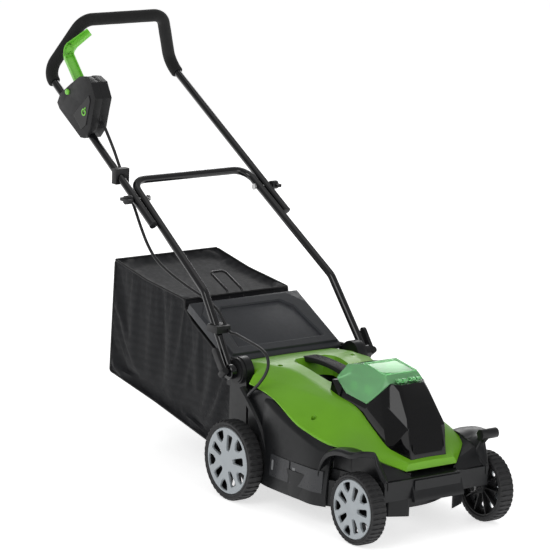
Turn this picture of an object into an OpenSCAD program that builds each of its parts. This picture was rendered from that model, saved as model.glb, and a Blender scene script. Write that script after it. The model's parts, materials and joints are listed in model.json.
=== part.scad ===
// Push lawn mower: 36 cm battery rotary mower with a folding handle and a rear grass bag.
// +X points forward, +Y to the operator's left, +Z up. The origin is on the ground, under the
// middle of the machine's length and width. Deck parts are drawn from the blade axis.

/* [Machine] */
// Distance of the blade axis in front of the origin
blade_x = 373; // [372:0.5:374]
// Cutting width, which is the blade's length
cut_w = 360; // [350:1:362]
// Height of the blade above the ground
cut_h = 65; // [62:1:68]

/* [Wheels] */
// Diameter of the rear wheels
rear_wheel_d = 178; // [174:1:180]
// Diameter of the front wheels
front_wheel_d = 154; // [150:1:156]
// Width of every tyre
tyre_w = 36; // [32:1:36]
// Distance between the outer faces of the rear wheels
rear_track = 457; // [455:1:462]
// Distance between the outer faces of the front wheels
front_track = 382; // [380:1:388]

/* [Handle] */
// Outer diameter of the handle tubes
tube_d = 18; // [16:0.5:18]
// Wall thickness of the handle tubes
tube_wall = 1.2; // [1:0.1:1.5]
// Outer diameter of the foam grip
foam_d = 30; // [26:1:30]
// Diameter of the power cable
cable_d = 7; // [5:0.5:7]

/* [Bodywork] */
// Wall thickness of the deck
deck_t = 4; // [3.5:0.5:4]
// Wall thickness of the motor cover and the cowl
cover_t = 3; // [2.5:0.5:3]
// Wall thickness of the grass bag
bag_t = 2; // [2:0.5:3]

/* [Hidden] */
$fn = 48;

// How far a cutting body runs past the face it cuts
past = 1;
// Running clearance of a shaft in its bore, on the radius
run = 0.08;
// Space left between separate bodies
gap = 0.5;
// Largest turn between the rings of a bent tube
bend_step = 10;

black = [0.10, 0.10, 0.11];
grey = [0.25, 0.25, 0.27];
green = [0.45, 0.70, 0.25];
silver = [0.70, 0.72, 0.73];
steel = [0.60, 0.60, 0.62];

// Wheels and axles, in x from the blade axis
front_axle_x = 212;
rear_axle_x = -187;
front_wheel_y = front_track / 2 - tyre_w;
rear_wheel_y = rear_track / 2 - tyre_w;
crank = [50, -39];
front_crank = [front_axle_x - crank[0], front_wheel_d / 2 - crank[1]];
rear_crank = [rear_axle_x - crank[0], rear_wheel_d / 2 - crank[1]];
axle_r = 5;
arm_w = 7;
front_arm_y = 136;
rear_arm_y = 176;
link_up = 30;
link_y = 120;
lever_y = 145;
lever_t = 4;
hub_r = 14;

// Blade housing
house_r = cut_w / 2 + 6 + deck_t;
skirt_z = 50;
ceiling_z = 104;
blade_t = 4;
spindle_r = 6;

// Handle, in x from the blade axis
tube_r = tube_d / 2;
pivot = [-242.6, 272];
pivot_y = 186;
lower_bend = [-364.4, 176, 427];
lower_top = [-688, 160, 618];
joint = [-634.8, 586.8];
upper_end = [-558, 186, 542];
upper_bend = [-1030, 173.5, 819];
upper_top = [-978, 112, 946];
slope = 30.4;
bolt_r = 3;

// Flap hinge and slope
flap_hinge = [-286, 282];
hinge_r = 2.5;
flap_slope = 27;
flap_len = 196;
flap_w = 300;

// Lid hinge
lid_hinge = [147, 319];

// Points along the cable: box to upper clip, to lower clip, to deck
cable_a = [[-806, -168, 735], [-792, -168, 726], [-772, -168, 704], [-750, -168, 678], [-728, -168, 648],
           [-699, -168, 611]];
cable_b = [[-697.5, -168.6, 609], [-678, -172, 592], [-646, -177, 562], [-612, -182, 526],
           [-580, -184, 492], [-545, -183, 464],
           [-490, -181, 442], [-436, -174, 424], [-388, -164, 408], [-340, -161, 392], [-312, -162, 374],
           [-288, -164.4, 354]];
cable_c = [[-284.5, -164.8, 352.6], [-272, -165, 350], [-250, -168, 352], [-210, -173, 350],
           [-156, -178, 346], [-120, -182, 338], [-106, -185, 320], [-112, -187, 296], [-138, -187, 266], [-172, -184, 238],
           [-192, -173, 224]];

function unit(v) = v / norm(v);
function lerp(a, b, t) = a + (b - a) * t;
function mirrored(p) = [p[0], -p[1], p[2]];
function reversed(list) = [for (i = [len(list) - 1:-1:0]) list[i]];

// ---- general shapes ----

module from_blade() translate([blade_x, 0, 0]) children();

module both_sides() {
    children();
    mirror([0, 1, 0]) children();
}

// A straight round bar from a to b
module bar(a, b, r) {
    d = b - a;
    translate(a) rotate([0, acos(d[2] / norm(d)), atan2(d[1], d[0])]) cylinder(h = norm(d), r = r);
}

// A round bar along y, centred at [x, z]
module y_bar(c, y0, y1, r) translate([c[0], y1, c[1]]) rotate([90, 0, 0]) cylinder(h = y1 - y0, r = r);

// A side outline in x and z, extruded from y0 to y1
module side_plate(outline, y0, y1) {
    translate([0, y1, 0]) rotate([90, 0, 0]) linear_extrude(y1 - y0) polygon(outline);
}

// A box given by its lowest and highest corners
module block(a, b) translate(a) cube(b - a);

// The arc that rounds corner i of a run of points
function corner(points, i, bend) =
    let (
        u = unit(points[i] - points[i - 1]),
        w = unit(points[i + 1] - points[i]),
        turn = acos(u * w),
        side = unit(w - u * (u * w)),
        centre = points[i] - u * bend * tan(turn / 2) + side * bend,
        steps = ceil(turn / bend_step)
    )
        [for (j = [0:steps]) centre + bend * (sin(turn * j / steps) * u - cos(turn * j / steps) * side)];

// The run of points with every inner corner rounded to the bend radius
function rounded(points, bend) = concat(
    [points[0]],
    [for (i = [1:len(points) - 2]) each corner(points, i, bend)],
    [points[len(points) - 1]]
);

// The direction of travel at each point of a path
function headings(p) = [for (i = [0:len(p) - 1]) unit(p[min(i + 1, len(p) - 1)] - p[max(i - 1, 0)])];

// A side direction at each point, carried along the path without twist
function side_dirs(t) = [
    for (i = 0, n = unit(cross(t[0], [0.9, 0.3, 0.1])); i < len(t);
         i = i + 1, n = unit(n - t[min(i, len(t) - 1)] * (n * t[min(i, len(t) - 1)]))) n
];

// Points of the rings of radius r round a path
function ring_set(p, r, sides) =
    let (t = headings(p), a = side_dirs(t))
        [for (i = [0:len(p) - 1], k = [0:sides - 1])
            p[i] + r * (cos(k * 360 / sides) * a[i] + sin(k * 360 / sides) * cross(t[i], a[i]))];

// Triangles of the wall between the rings, which start at point number at
function wall_faces(rings, sides, at) = [
    for (i = [0:rings - 2], k = [0:sides - 1], half = [0, 1])
        let (a = at + i * sides + k, b = at + i * sides + (k + 1) % sides)
            half == 0 ? [a, a + sides, b] : [b, a + sides, b + sides]
];

function flipped(faces) = [for (f = faces) reversed(f)];

// A solid round bar along a path
module swept_bar(p, r, sides = 10) {
    n = len(p);
    start = [for (k = [0:sides - 1]) k];
    end = [for (k = [sides - 1:-1:0]) (n - 1) * sides + k];
    polyhedron(ring_set(p, r, sides), concat([start], wall_faces(n, sides, 0), [end]), convexity = 6);
}

// An open tube along a path, from the inner to the outer radius
module swept_tube(p, inner_r, outer_r, sides = 20) {
    n = len(p);
    m = n * sides;
    last = (n - 1) * sides;
    ends = [
        for (k = [0:sides - 1], half = [0, 1])
            let (q = (k + 1) % sides)
                half == 0 ? [k, q, m + k] : [q, m + q, m + k]
    ];
    far_ends = [for (f = ends) [f[0] + last, f[1] + last, f[2] + last]];
    polyhedron(
        concat(ring_set(p, outer_r, sides), ring_set(p, inner_r, sides)),
        concat(wall_faces(n, sides, 0), flipped(wall_faces(n, sides, m)), ends, flipped(far_ends)),
        convexity = 8
    );
}

// A point on the smooth curve through four neighbouring points
function curve_at(a, b, c, d, t) =
    0.5 * (2 * b + (c - a) * t + (2 * a - 5 * b + 4 * c - d) * t * t + (3 * b - a - 3 * c + d) * t * t * t);

// The route with extra points on the curve between its own points
function smooth_route(p, steps) = [
    for (i = [0:len(p) - 2], s = [0:steps - 1])
        curve_at(p[max(i - 1, 0)], p[i], p[i + 1], p[min(i + 2, len(p) - 1)], s / steps),
    p[len(p) - 1]
];

// A round cord along its route
module cord(route) swept_bar(smooth_route(route, 2), cable_d / 2);

// ---- deck ----

// Half outline of the bodywork seen from above: x and half width
body_plan = [[-296, 148], [-206, 148], [-194, 170], [0, 172], [71, 160], [115, 150], [176, 130],
             [222, 100], [240, 62]];
// Lower edge of the motor cover, which is the top edge of the deck's walls: x and z
cover_edge = [[-300, 236], [-206, 240], [-152, 248], [-110, 242], [-56, 222], [-7, 200], [25, 188],
              [71, 181], [115, 178], [176, 172], [222, 151], [234, 146], [250, 143]];
tunnel_outer = [
    [-60, 104], [-190, 262], [-296, 272], [-296, 142], [-232, 135], [-186, skirt_z], [-60, skirt_z]
];
tunnel_inner = [[-74, 99], [-190, 256], [-297, 267], [-297, 147], [-229, 139], [-178, 56], [-74, 56]];
tunnel_w = 224;
bumper_x = 257;
bumper_z = 95;
beam_z = 137;
arch_r = 113;
arch_y = 192;
arch_wall_y = 150;
arch_plan = [[90, 140], [90, arch_y], [205, arch_y], [bumper_x, 142], [bumper_x, 136]];

module plan_solid(inset, z0, z1) {
    right = [for (p = body_plan) [p[0], inset - p[1]]];
    left = [for (p = reversed(body_plan)) [p[0], p[1] - inset]];
    translate([0, 0, z0]) linear_extrude(z1 - z0) polygon(concat(right, left));
}

module deck_walls() {
    below_edge = concat(cover_edge, [[250, skirt_z], [-300, skirt_z]]);
    intersection() {
        difference() {
            plan_solid(0, skirt_z, 260);
            plan_solid(deck_t, skirt_z - past, 261);
        }
        side_plate(below_edge, -200, 200);
    }
}

// Cover over one front wheel, with the wall on its inner side
module front_arch() {
    centre = [front_axle_x, front_wheel_d / 2];
    intersection() {
        difference() {
            y_bar(centre, arch_wall_y, arch_y, arch_r + deck_t);
            y_bar(centre, arch_wall_y + 3.5, arch_y + past, arch_r);
        }
        linear_extrude(220) polygon(arch_plan);
        block([90, 100, beam_z - deck_t], [bumper_x, 200, 220]);
    }
}

module handle_column() {
    difference() {
        union() {
            side_plate([
                [-262, 140], [-272, 262], [-214, 262], [-206, 110], [-214, 100], [-246, 100]
            ], 144, 164);
            y_bar(pivot, 144, 164, 31);
        }
        y_bar(pivot, 140, 170, bolt_r + 1);
    }
}

module deck() color(black) from_blade() difference() {
    union() {
        difference() {
            union() {
                translate([0, 0, skirt_z]) cylinder(h = ceiling_z + deck_t - skirt_z, r = house_r);
                side_plate(tunnel_outer, -tunnel_w / 2, tunnel_w / 2);
                // Posts for the cover screws
                for (p = screw_at) translate([p[0], p[1], p[0] < 0 ? 235 : ceiling_z])
                    cylinder(h = p[2] - (p[0] < 0 ? 235 : ceiling_z), r = 6);
            }
            translate([0, 0, skirt_z - past]) {
                cylinder(h = ceiling_z + past - skirt_z, r = house_r - deck_t);
            }
            side_plate(tunnel_inner, deck_t - tunnel_w / 2, tunnel_w / 2 - deck_t);
        }
        difference() {
            deck_walls();
            translate([0, 0, skirt_z - past]) {
                cylinder(h = ceiling_z + past - skirt_z, r = house_r - deck_t);
            }
        }
        // Front bumper: a top plate, a front plate with a step, and two end ribs
        block([180, -134, beam_z - deck_t], [bumper_x, 134, beam_z]);
        block([bumper_x - deck_t, -140, bumper_z], [bumper_x, 140, beam_z]);
        block([bumper_x - past, -62, bumper_z + 4], [bumper_x + 4, 62, beam_z - 4]);
        both_sides() {
            block([204, -140, bumper_z], [bumper_x - past, -136, beam_z]);
            mirror([0, 1, 0]) front_arch();
            handle_column();
            block([-294, 152, 228], [-262, 158, 289]);
        }
    }
    y_bar(flap_hinge, -160, 160, hinge_r + run);
    cylinder(h = 200, r = 14);
    for (axis = [front_crank, rear_crank]) y_bar(axis, -200, 200, axle_r + gap);
    // Slot for the height lever, and the gap that its crank arm swings in
    block([98, lever_y - 1, ceiling_z], [240, lever_y + 5, 200]);
    both_sides() block([150, -front_arm_y - arm_w - 1, 60], [244, -front_arm_y + 1, 132]);
    // Slot for the notched guide beside the lever
    block([131, 138.5, beam_z], [224, 143.5, 190]);
    // Bores for the cover screws
    for (p = screw_at) translate([p[0], p[1], p[2] - screw_len]) {
        cylinder(h = screw_len + past, r = screw_r);
    }
}

// ---- covers ----

// Cross sections of the motor cover: x, then half width and height at the edge, shoulder and top
cover_rings = [
    [-276, 142, 250, 141, 268, 124, 282], [-206, 142, 252, 141, 278, 120, 292],
    [-190, 172, 254, 160, 276, 116, 291], [-152, 174, 252, 146, 274, 96, 289],
    [-92, 174, 240, 126, 264, 84, 277], [-7, 175, 204, 108, 254, 84, 262],
    [71, 163, 184, 104, 234, 82, 250], [115, 153, 181, 102, 212, 80, 226],
    [176, 133, 175, 94, 186, 76, 190], [236, 68, 148, 64, 160, 60, 163]
];
lid_pad = 1;

function ring_points(s, d) = [
    [s[0], -s[1] + d, s[2]], [s[0], -s[3] + d, s[4] - d / 2], [s[0], -s[5] + d / 2, s[6] - d],
    [s[0], s[5] - d / 2, s[6] - d], [s[0], s[3] - d, s[4] - d / 2], [s[0], s[1] - d, s[2]]
];

// A closed body through rings that have the same number of points
module loft(rings) {
    n = len(rings[0]);
    m = len(rings);
    points = [for (ring = rings, p = ring) p];
    sides = [
        for (i = [0:m - 2], k = [0:n - 1], half = [0, 1])
            let (a = i * n + k, b = i * n + (k + 1) % n)
                half == 0 ? [a, b, a + n] : [b, b + n, a + n]
    ];
    front = [for (k = [1:n - 2]) [(m - 1) * n, (m - 1) * n + k, (m - 1) * n + k + 1]];
    back = [for (k = [1:n - 2]) [0, k + 1, k]];
    polyhedron(points, concat(sides, front, back), convexity = 8);
}

// The tightest form round the points and their mirror images, each moved out from the middle by d
module point_hull(points, mid, d) hull() for (p = points, side = [-1, 1]) {
    q = [p[0], side * p[1], p[2]];
    translate(q + d * unit(q - mid)) cube(0.2, center = true);
}

// The form as a shell of about thickness t that is open underneath
module open_shell(points, mid, t) difference() {
    point_hull(points, mid, 0);
    hull() for (drop = [0, 90]) translate([0, 0, -drop]) point_hull(points, mid, -t);
}

// Corners of the cowl and of the lid on one side, and the middle that each is hollowed toward
cowl_mid = [90, 0, 245];
cowl_points = [
    [-34, 70, 262], [-32, 68, 288], [-26, 75, 242], [10, 75.5, 256], [92, 75.5, 246], [180, 76, 176],
    [226, 47, 165], [214, 50, 232], [189, 37, 279], [160, 31, 314], [144, 45, 314], [139, 66, 279],
    [110, 56, 315], [184, 50, 244], [20, 68, 288]
];
lid_mid = [60, 0, 300];
lid_points = [
    [46, 45, 338], [123, 44.5, 328], [141, 46, 313], [-1, 53, 327], [-20, 66, 295.5], [21.5, 72, 271],
    [100, 74, 264], [128, 64, 292]
];

// Finger well under the carry handle: its inner and outer side outlines, and its width
well_in = [[-196, 267], [-188, 266.5], [-169, 246], [-50, 243], [-50, 330], [-196, 330]];
well_out = [[-199, 264], [-189, 263.5], [-170, 243], [-47, 240], [-47, 300], [-199, 300]];
well_w = 88;

// Floor and walls of the finger well
module finger_well() intersection() {
    loft([for (s = cover_rings) ring_points(s, 0)]);
    difference() {
        side_plate(well_out, -well_w / 2 - cover_t, well_w / 2 + cover_t);
        side_plate(well_in, -well_w / 2, well_w / 2);
    }
}

module cover_shell() difference() {
    loft([for (s = cover_rings) ring_points(s, 0)]);
    difference() {
        loft([for (s = cover_rings) ring_points(s, cover_t)]);
        // Front and rear walls
        block([234, -100, 100], [260, 100, 300]);
        block([-300, -200, 100], [-274, 200, 300]);
    }
    // Open underside
    loft([for (s = cover_rings) [
        [s[0], -s[1] + cover_t, s[2] - 30], [s[0], -s[1] + cover_t, s[2] + past],
        [s[0], s[1] - cover_t, s[2] + past], [s[0], s[1] - cover_t, s[2] - 30]]]);
    point_hull(cowl_points, cowl_mid, gap);
    side_plate(well_in, -well_w / 2, well_w / 2);
}

module motor_cover() color(green) from_blade() difference() {
    union() {
        cover_shell();
        finger_well();
        screw_wells();
    }
    for (p = screw_at) translate(p) {
        translate([0, 0, well_floor]) cylinder(h = 80, r = 6.5);
        translate([0, 0, -past]) cylinder(h = 20, r = screw_r + run);
    }
    carry_grip();
    // Room for the roof of the discharge tunnel
    block([-300, -tunnel_w / 2 - gap, 200], [-270, tunnel_w / 2 + gap, 271]);
}

// Turns its children about the lid's hinge by the angle a
module lid_swung(a) translate([lid_hinge[0], 0, lid_hinge[1]]) rotate([0, a, 0]) {
    translate([-lid_hinge[0], 0, -lid_hinge[1]]) children();
}

// Black cowl round the battery bay, open underneath
module front_cowl() color(black) from_blade() difference() {
    open_shell(cowl_points, cowl_mid, 5);
    for (a = [0 : 5 : 25]) lid_swung(a) point_hull(lid_points, lid_mid, lid_pad);
    y_bar(lid_hinge, -34, 34, 5.5);
    // Slot that the safety key is pulled out through
    block([-21, -7, 262], [-11, 7, 300]);
}

// Tray with one bay for each battery pack, and a step behind them for the safety key
module battery_tray() color(black) from_blade() difference() {
    block([-22, -56.5, 246], [132, 56.5, 268]);
    block([-4, -54, 250], [128, -2, 269]);
    block([-4, 2, 250], [128, 54, 269]);
}

module battery_lid() color([0.40, 0.80, 0.50, 0.5]) from_blade() {
    difference() {
        open_shell(lid_points, lid_mid, 3.5);
        y_bar(lid_hinge, -40, 40, 5);
    }
    difference() {
        union() {
            y_bar(lid_hinge, -30, 30, 4.5);
            block([138, -30, 317], [lid_hinge[0], 30, 323]);
        }
        y_bar(lid_hinge, -31, 31, 2);
    }
}

// One battery pack: the case, a stepped top and the latch button
module battery_pack(side) color(grey) from_blade() {
    mid = side * 28.5;
    block([6, mid - 25, 252], [119, mid + 25, 300]);
    block([12, mid - 20, 300], [112, mid + 20, 314]);
    block([86, mid - 12, 314], [108, mid + 12, 317]);
}

module battery_pack_right() battery_pack(-1);
module battery_pack_left() battery_pack(1);

// Safety key of the battery bay
module safety_key() color(green) from_blade() {
    block([-20, -6, 268], [-12, 6, 286]);
}

// Grip over the finger well; the same form is cut out of the cover
module carry_grip() side_plate([
    [-224, 283], [-218, 291], [-200, 298], [-150, 301], [-90, 298], [-40, 290], [-36, 286], [-36, 272],
    [-44, 272], [-58, 278], [-100, 286], [-150, 288], [-196, 284], [-206, 276], [-216, 276]
], -17, 17);

module carry_handle() color(black) from_blade() carry_grip();

// Screw size, and the places of the cover screws with the height of the post under each
screw_r = 2.4;
screw_len = 17;
well_floor = 3;
screw_at = [[-176, -100, 278], [-176, 100, 278], [12, -146, 204], [12, 146, 204]];

module cover_screws() color(steel) from_blade() for (p = screw_at) translate(p) {
    translate([0, 0, well_floor - screw_len]) cylinder(h = screw_len + 0.5, r = screw_r - 0.06);
    translate([0, 0, well_floor]) cylinder(h = 3, r = screw_r + 2);
}

// Recess that holds one screw head, cut to the shape of the cover
module screw_wells() intersection() {
    loft([for (s = cover_rings) ring_points(s, 0)]);
    for (p = screw_at) translate(p) cylinder(h = 40, r = 9);
}

module axle_brackets() color(grey) from_blade() difference() {
    both_sides() {
        block([front_crank[0] - 8, 84, ceiling_z + deck_t], [front_crank[0] + 8, 95, front_crank[1] + 10]);
        block([rear_crank[0] - 8, 122, rear_crank[1] - 9], [rear_crank[0] + 8, 144, rear_crank[1] + 10]);
    }
    for (axis = [front_crank, rear_crank]) y_bar(axis, -200, 200, axle_r + run);
}

module flap_hinge_pin() color(steel) from_blade() y_bar(flap_hinge, -158, 158, hinge_r);

module handle_hubs() color(black) from_blade() both_sides() difference() {
    union() {
        y_bar(pivot, 164.5, 172, 29);
        y_bar(pivot, 171, 175, 25);
    }
    y_bar(pivot, 160, 180, bolt_r + run);
}

// Toothed guide beside the height lever, with one notch for each cutting height
module height_sector() color(grey) from_blade() {
    reach = 62;
    steps = 5;
    difference() {
        intersection() {
            y_bar(front_crank, 139, 143, reach);
            block([front_crank[0] - 30, 138, beam_z + gap], [front_crank[0] + 60, 144, 190]);
        }
        y_bar(front_crank, 138, 144, reach - 12);
        for (i = [0:steps - 1]) {
            at = 48 + 7.5 * i;
            y_bar(front_crank + (reach + 1) * [cos(at), sin(at)], 138, 144, 2.6);
        }
    }
}

// ---- motor and blade ----

stator_r = 52;
rotor_r = 29.4;
stator_top = 186;
bearing_r = 14;
blade_z = cut_h;
shaft_foot = blade_z + blade_t;

module motor_stator() color(steel) from_blade() difference() {
    union() {
        translate([0, 0, ceiling_z + deck_t]) cylinder(h = 5, r = stator_r + 8);
        translate([0, 0, ceiling_z + deck_t]) cylinder(h = stator_top - ceiling_z - deck_t, r = stator_r);
    }
    translate([0, 0, 115]) cylinder(h = 61, r = rotor_r + 0.6);
    translate([0, 0, 107]) cylinder(h = 9, r = bearing_r);
    translate([0, 0, 175]) cylinder(h = 9, r = bearing_r);
    translate([0, 0, 183]) cylinder(h = 5, r = spindle_r + 1);
}

module motor_bearings() color(silver) from_blade() for (z = [107, 176.5]) difference() {
    translate([0, 0, z]) cylinder(h = 7, r = bearing_r - 0.05);
    translate([0, 0, z - past]) cylinder(h = 9, r = spindle_r + run);
}

module motor_rotor() color(steel) from_blade() difference() {
    union() {
        translate([0, 0, shaft_foot]) cylinder(h = stator_top - shaft_foot, r = spindle_r);
        translate([0, 0, 116]) cylinder(h = 59, r = rotor_r);
    }
    translate([0, 0, shaft_foot - past]) cylinder(h = 24, r = 4.05);
}

module blade_adapter() color(black) from_blade() difference() {
    union() {
        translate([0, 0, shaft_foot]) cylinder(h = 27, r = 15);
        translate([0, 0, 88]) cylinder(h = 3, r = 62);
        for (i = [0:5]) rotate([0, 0, 60 * i]) block([12, -1.5, 76], [60, 1.5, 89]);
    }
    translate([0, 0, shaft_foot - past]) cylinder(h = 30, r = spindle_r + 0.02);
}

module cutting_blade() color(steel) from_blade() difference() {
    union() {
        block([-cut_w / 2 + 1, -23, blade_z], [cut_w / 2 - 1, 23, shaft_foot]);
        for (turn = [0, 180]) rotate([0, 0, turn])
            side_plate([[110, blade_z], [cut_w / 2 - 1, blade_z], [cut_w / 2 - 1, blade_z + 16],
                        [160, blade_z + 16]], -23, -19);
    }
    translate([0, 0, blade_z - past]) cylinder(h = blade_t + 2, r = 4.1);
}

module blade_bolt() color(steel) from_blade() {
    translate([0, 0, blade_z - 2.5]) cylinder(h = 2.5, r = 13);
    translate([0, 0, blade_z - 8]) cylinder(h = 6, r = 8, $fn = 6);
    translate([0, 0, blade_z - 3]) cylinder(h = 22, r = 4);
}

module controller_board() color("darkgreen") from_blade() {
    block([66, -45, 192], [150, 45, 194]);
    for (y = [-28, 0, 28]) translate([96, y, 193]) cylinder(h = 22, r = 8);
    block([120, -36, 193], [142, 36, 208]);
}

// ---- axles, lever and wheels ----

module crank_arm(axis, y) {
    foot = axis + crank;
    across = 8 * unit([-crank[1], crank[0]]);
    y_bar(axis, y, y + arm_w, 9);
    y_bar(foot, y, y + arm_w, 9);
    side_plate([axis + across, axis - across, foot - across, foot + across], y, y + arm_w);
}

// Small arm that the tie rod is pinned to, on the left side only
module link_arm(axis) {
    top = axis + [0, link_up];
    y_bar(top, link_y - 6, link_y + 5, 3);
    side_plate([axis + [-5, 0], top + [-5, 4], top + [5, 4], axis + [5, 0]], link_y - 6, link_y - 1);
}

// An axle that turns about its axis; its rod reaches from the right arm to rod_y on the left
module axle(axis, arm_y, rod_y, end_y) {
    y_bar(axis, -arm_y - 1, rod_y, axle_r);
    both_sides() {
        crank_arm(axis, arm_y);
        y_bar(axis + crank, arm_y + 1, end_y, axle_r);
    }
    link_arm(axis);
}

module front_axle() color(steel) from_blade() 
    axle(front_crank, front_arm_y, lever_y + lever_t, front_track / 2 - 8);

module rear_axle() color(steel) from_blade() 
    axle(rear_crank, rear_arm_y, rear_arm_y + 1, rear_track / 2 - 8);

module tie_rod() color(steel) from_blade() difference() {
    ends = [front_crank + [0, link_up], rear_crank + [0, link_up]];
    union() {
        for (e = ends) y_bar(e, link_y, link_y + 4, 7);
        side_plate(
            [ends[0] + [0, 5], ends[0] + [0, -5], ends[1] + [0, -5], ends[1] + [0, 5]], link_y, link_y + 4
        );
    }
    y_bar(ends[0], link_y - 1, link_y + 5, 3 + run);
    y_bar(ends[1], link_y - 1, link_y + 5, 3 + gap);
}

// Centre of the lever's grip
grip_at = [243, 204];
grip_r = 11;

module height_lever() color(black) from_blade() difference() {
    across = 7 * unit([-(grip_at[1] - front_crank[1]), grip_at[0] - front_crank[0]]);
    union() {
        y_bar(front_crank, lever_y, lever_y + lever_t, 12);
        side_plate([front_crank + across, front_crank - across, grip_at - across, grip_at + across],
                   lever_y, lever_y + lever_t);
    }
    y_bar(front_crank, lever_y - 1, lever_y + 6, axle_r + 0.02);
}

module lever_grip() color(black) from_blade() difference() {
    along = unit(grip_at - front_crank);
    across = 8 * [-along[1], along[0]];
    foot = grip_at - 42 * along;
    union() {
        y_bar(grip_at, lever_y - 20, lever_y + 24, grip_r);
        side_plate(
            [foot + across, foot - across, grip_at - across, grip_at + across], lever_y - 5, lever_y + 4.6
        );
    }
    // Pocket for the lever
    side_plate([foot - 5 * along + 0.9 * across, foot - 5 * along - 0.9 * across,
                grip_at + along - 0.9 * across, grip_at + along + 0.9 * across],
               lever_y - run, lever_y + lever_t + run);
}

// A wheel part stands on its inner face, with its axle along +z
module at_wheel(x, d, y, side) {
    translate([blade_x + x, 0, d / 2]) mirror([0, side > 0 ? 0 : 1, 0])
        translate([0, y, 0]) rotate([-90, 0, 0]) children();
}

module tyre(d, rim) rotate_extrude($fn = 96)
    polygon([[rim, 1], [d / 2 - 4, 0], [d / 2 - 1, 3], [d / 2, 8],
        [d / 2, tyre_w - 8], [d / 2 - 1, tyre_w - 3],
             [d / 2 - 4, tyre_w], [rim, tyre_w - 1]]);

module wheel_core(rim) {
    difference() {
        translate([0, 0, 3]) cylinder(h = tyre_w - 8, r = rim - 0.05);
        translate([0, 0, 2]) cylinder(h = tyre_w, r = rim - 3);
    }
    difference() {
        union() {
            translate([0, 0, 2]) cylinder(h = tyre_w - 7, r = hub_r);
            translate([0, 0, 16]) cylinder(h = 3, r = rim - 2);
            for (i = [0:9]) rotate([0, 0, 36 * i]) block([hub_r - 1, -1.2, 6], [rim - 2, 1.2, 17]);
        }
        translate([0, 0, 1]) cylinder(h = tyre_w, r = axle_r + run);
        for (i = [0:9]) rotate([0, 0, 36 * i + 18]) translate([rim * 0.68, 0, 10])
            cylinder(h = 20, r = rim * 0.13);
    }
}

module hubcap(rim) difference() {
    union() {
        translate([0, 0, tyre_w - 4]) cylinder(h = 3, r = rim - 0.3);
        translate([0, 0, tyre_w - 2]) cylinder(h = 2, r1 = rim * 0.42, r2 = rim * 0.36);
    }
    for (i = [0:4]) {
        rotate([0, 0, 72 * i]) linear_extrude(tyre_w + 2)
            polygon(rim * [[0.36, -0.06], [0.78, -0.12], [0.78, 0.12], [0.36, 0.06]]);
        rotate([0, 0, 72 * i + 36]) linear_extrude(tyre_w + 2)
            polygon(rim * [[0.60, 0], [0.70, -0.13], [0.88, -0.16], [0.88, 0.16], [0.70, 0.13]]);
    }
}

front_rim = front_wheel_d / 2 - 13;
rear_rim = rear_wheel_d / 2 - 15;

module at_front(side) at_wheel(front_axle_x, front_wheel_d, front_wheel_y, side) children();
module at_rear(side) at_wheel(rear_axle_x, rear_wheel_d, rear_wheel_y, side) children();
module tyre_front_right() color(grey) at_front(-1) tyre(front_wheel_d, front_rim);
module tyre_front_left() color(grey) at_front(1) tyre(front_wheel_d, front_rim);
module tyre_rear_right() color(grey) at_rear(-1) tyre(rear_wheel_d, rear_rim);
module tyre_rear_left() color(grey) at_rear(1) tyre(rear_wheel_d, rear_rim);
module wheel_front_right() color(black) at_front(-1) wheel_core(front_rim);
module wheel_front_left() color(black) at_front(1) wheel_core(front_rim);
module wheel_rear_right() color(black) at_rear(-1) wheel_core(rear_rim);
module wheel_rear_left() color(black) at_rear(1) wheel_core(rear_rim);
module hubcap_front_right() color(silver) at_front(-1) hubcap(front_rim);
module hubcap_front_left() color(silver) at_front(1) hubcap(front_rim);
module hubcap_rear_right() color(silver) at_rear(-1) hubcap(rear_rim);
module hubcap_rear_left() color(silver) at_rear(1) hubcap(rear_rim);

// ---- handle ----

module lower_handle() color(black) from_blade() difference() {
    foot = [pivot[0], pivot_y, pivot[1]];
    union() {
        swept_tube(
            rounded([
                mirrored(foot), mirrored(lower_bend), mirrored(lower_top), lower_top, lower_bend, foot
            ], 38),
            tube_r - tube_wall, tube_r
        );
        both_sides() y_bar(pivot, 177, 195, 17);
    }
    y_bar(pivot, -200, 200, bolt_r + run);
    y_bar(joint, -200, 200, bolt_r + run);
}

module handle_bolts() color(steel) from_blade() both_sides() {
    y_bar(pivot, 146, 196, bolt_r);
    y_bar(joint, 148, 206, bolt_r);
    y_bar(joint, 146, 150, 7);
}

// Cam lever: a barrel across the bolt and a paddle that lies along the handle leg
module cam_lever() {
    leg = unit([lower_bend[0] - pivot[0], lower_bend[2] - pivot[1]]);
    y_mid = 205;
    centre = [pivot[0], y_mid, pivot[1]];
    axis = [leg[1], 0, -leg[0]];
    bar(centre - 11 * axis, centre + 11 * axis, 8);
    translate(centre) rotate([0, atan2(leg[0], leg[1]), 0]) {
        block([-8, -4, 0], [8, 4, 52]);
        translate([0, 4, 52]) rotate([90, 0, 0]) cylinder(h = 8, r = 8);
    }
}

module cam_lever_right() color(black) from_blade() mirror([0, 1, 0]) cam_lever();
module cam_lever_left() color(black) from_blade() cam_lever();

module wing_knob() difference() {
    union() {
        y_bar(joint, 195.5, 212, 10);
        block([joint[0] - 18, 202, joint[1] - 3.5], [joint[0] + 18, 214, joint[1] + 3.5]);
    }
    y_bar(joint, 190, 208, bolt_r + run);
}

module wing_knob_right() color(black) from_blade() mirror([0, 1, 0]) wing_knob();
module wing_knob_left() color(black) from_blade() wing_knob();

module upper_handle() color(black) from_blade() difference() {
    swept_tube(
        rounded([
            mirrored(upper_end), mirrored(upper_bend), mirrored(upper_top),
            upper_top, upper_bend, upper_end
        ], 40),
        tube_r - tube_wall, tube_r
    );
    y_bar(joint, -200, 200, bolt_r + run);
}

foam_start = lerp(upper_end, upper_bend, 0.932);

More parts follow.
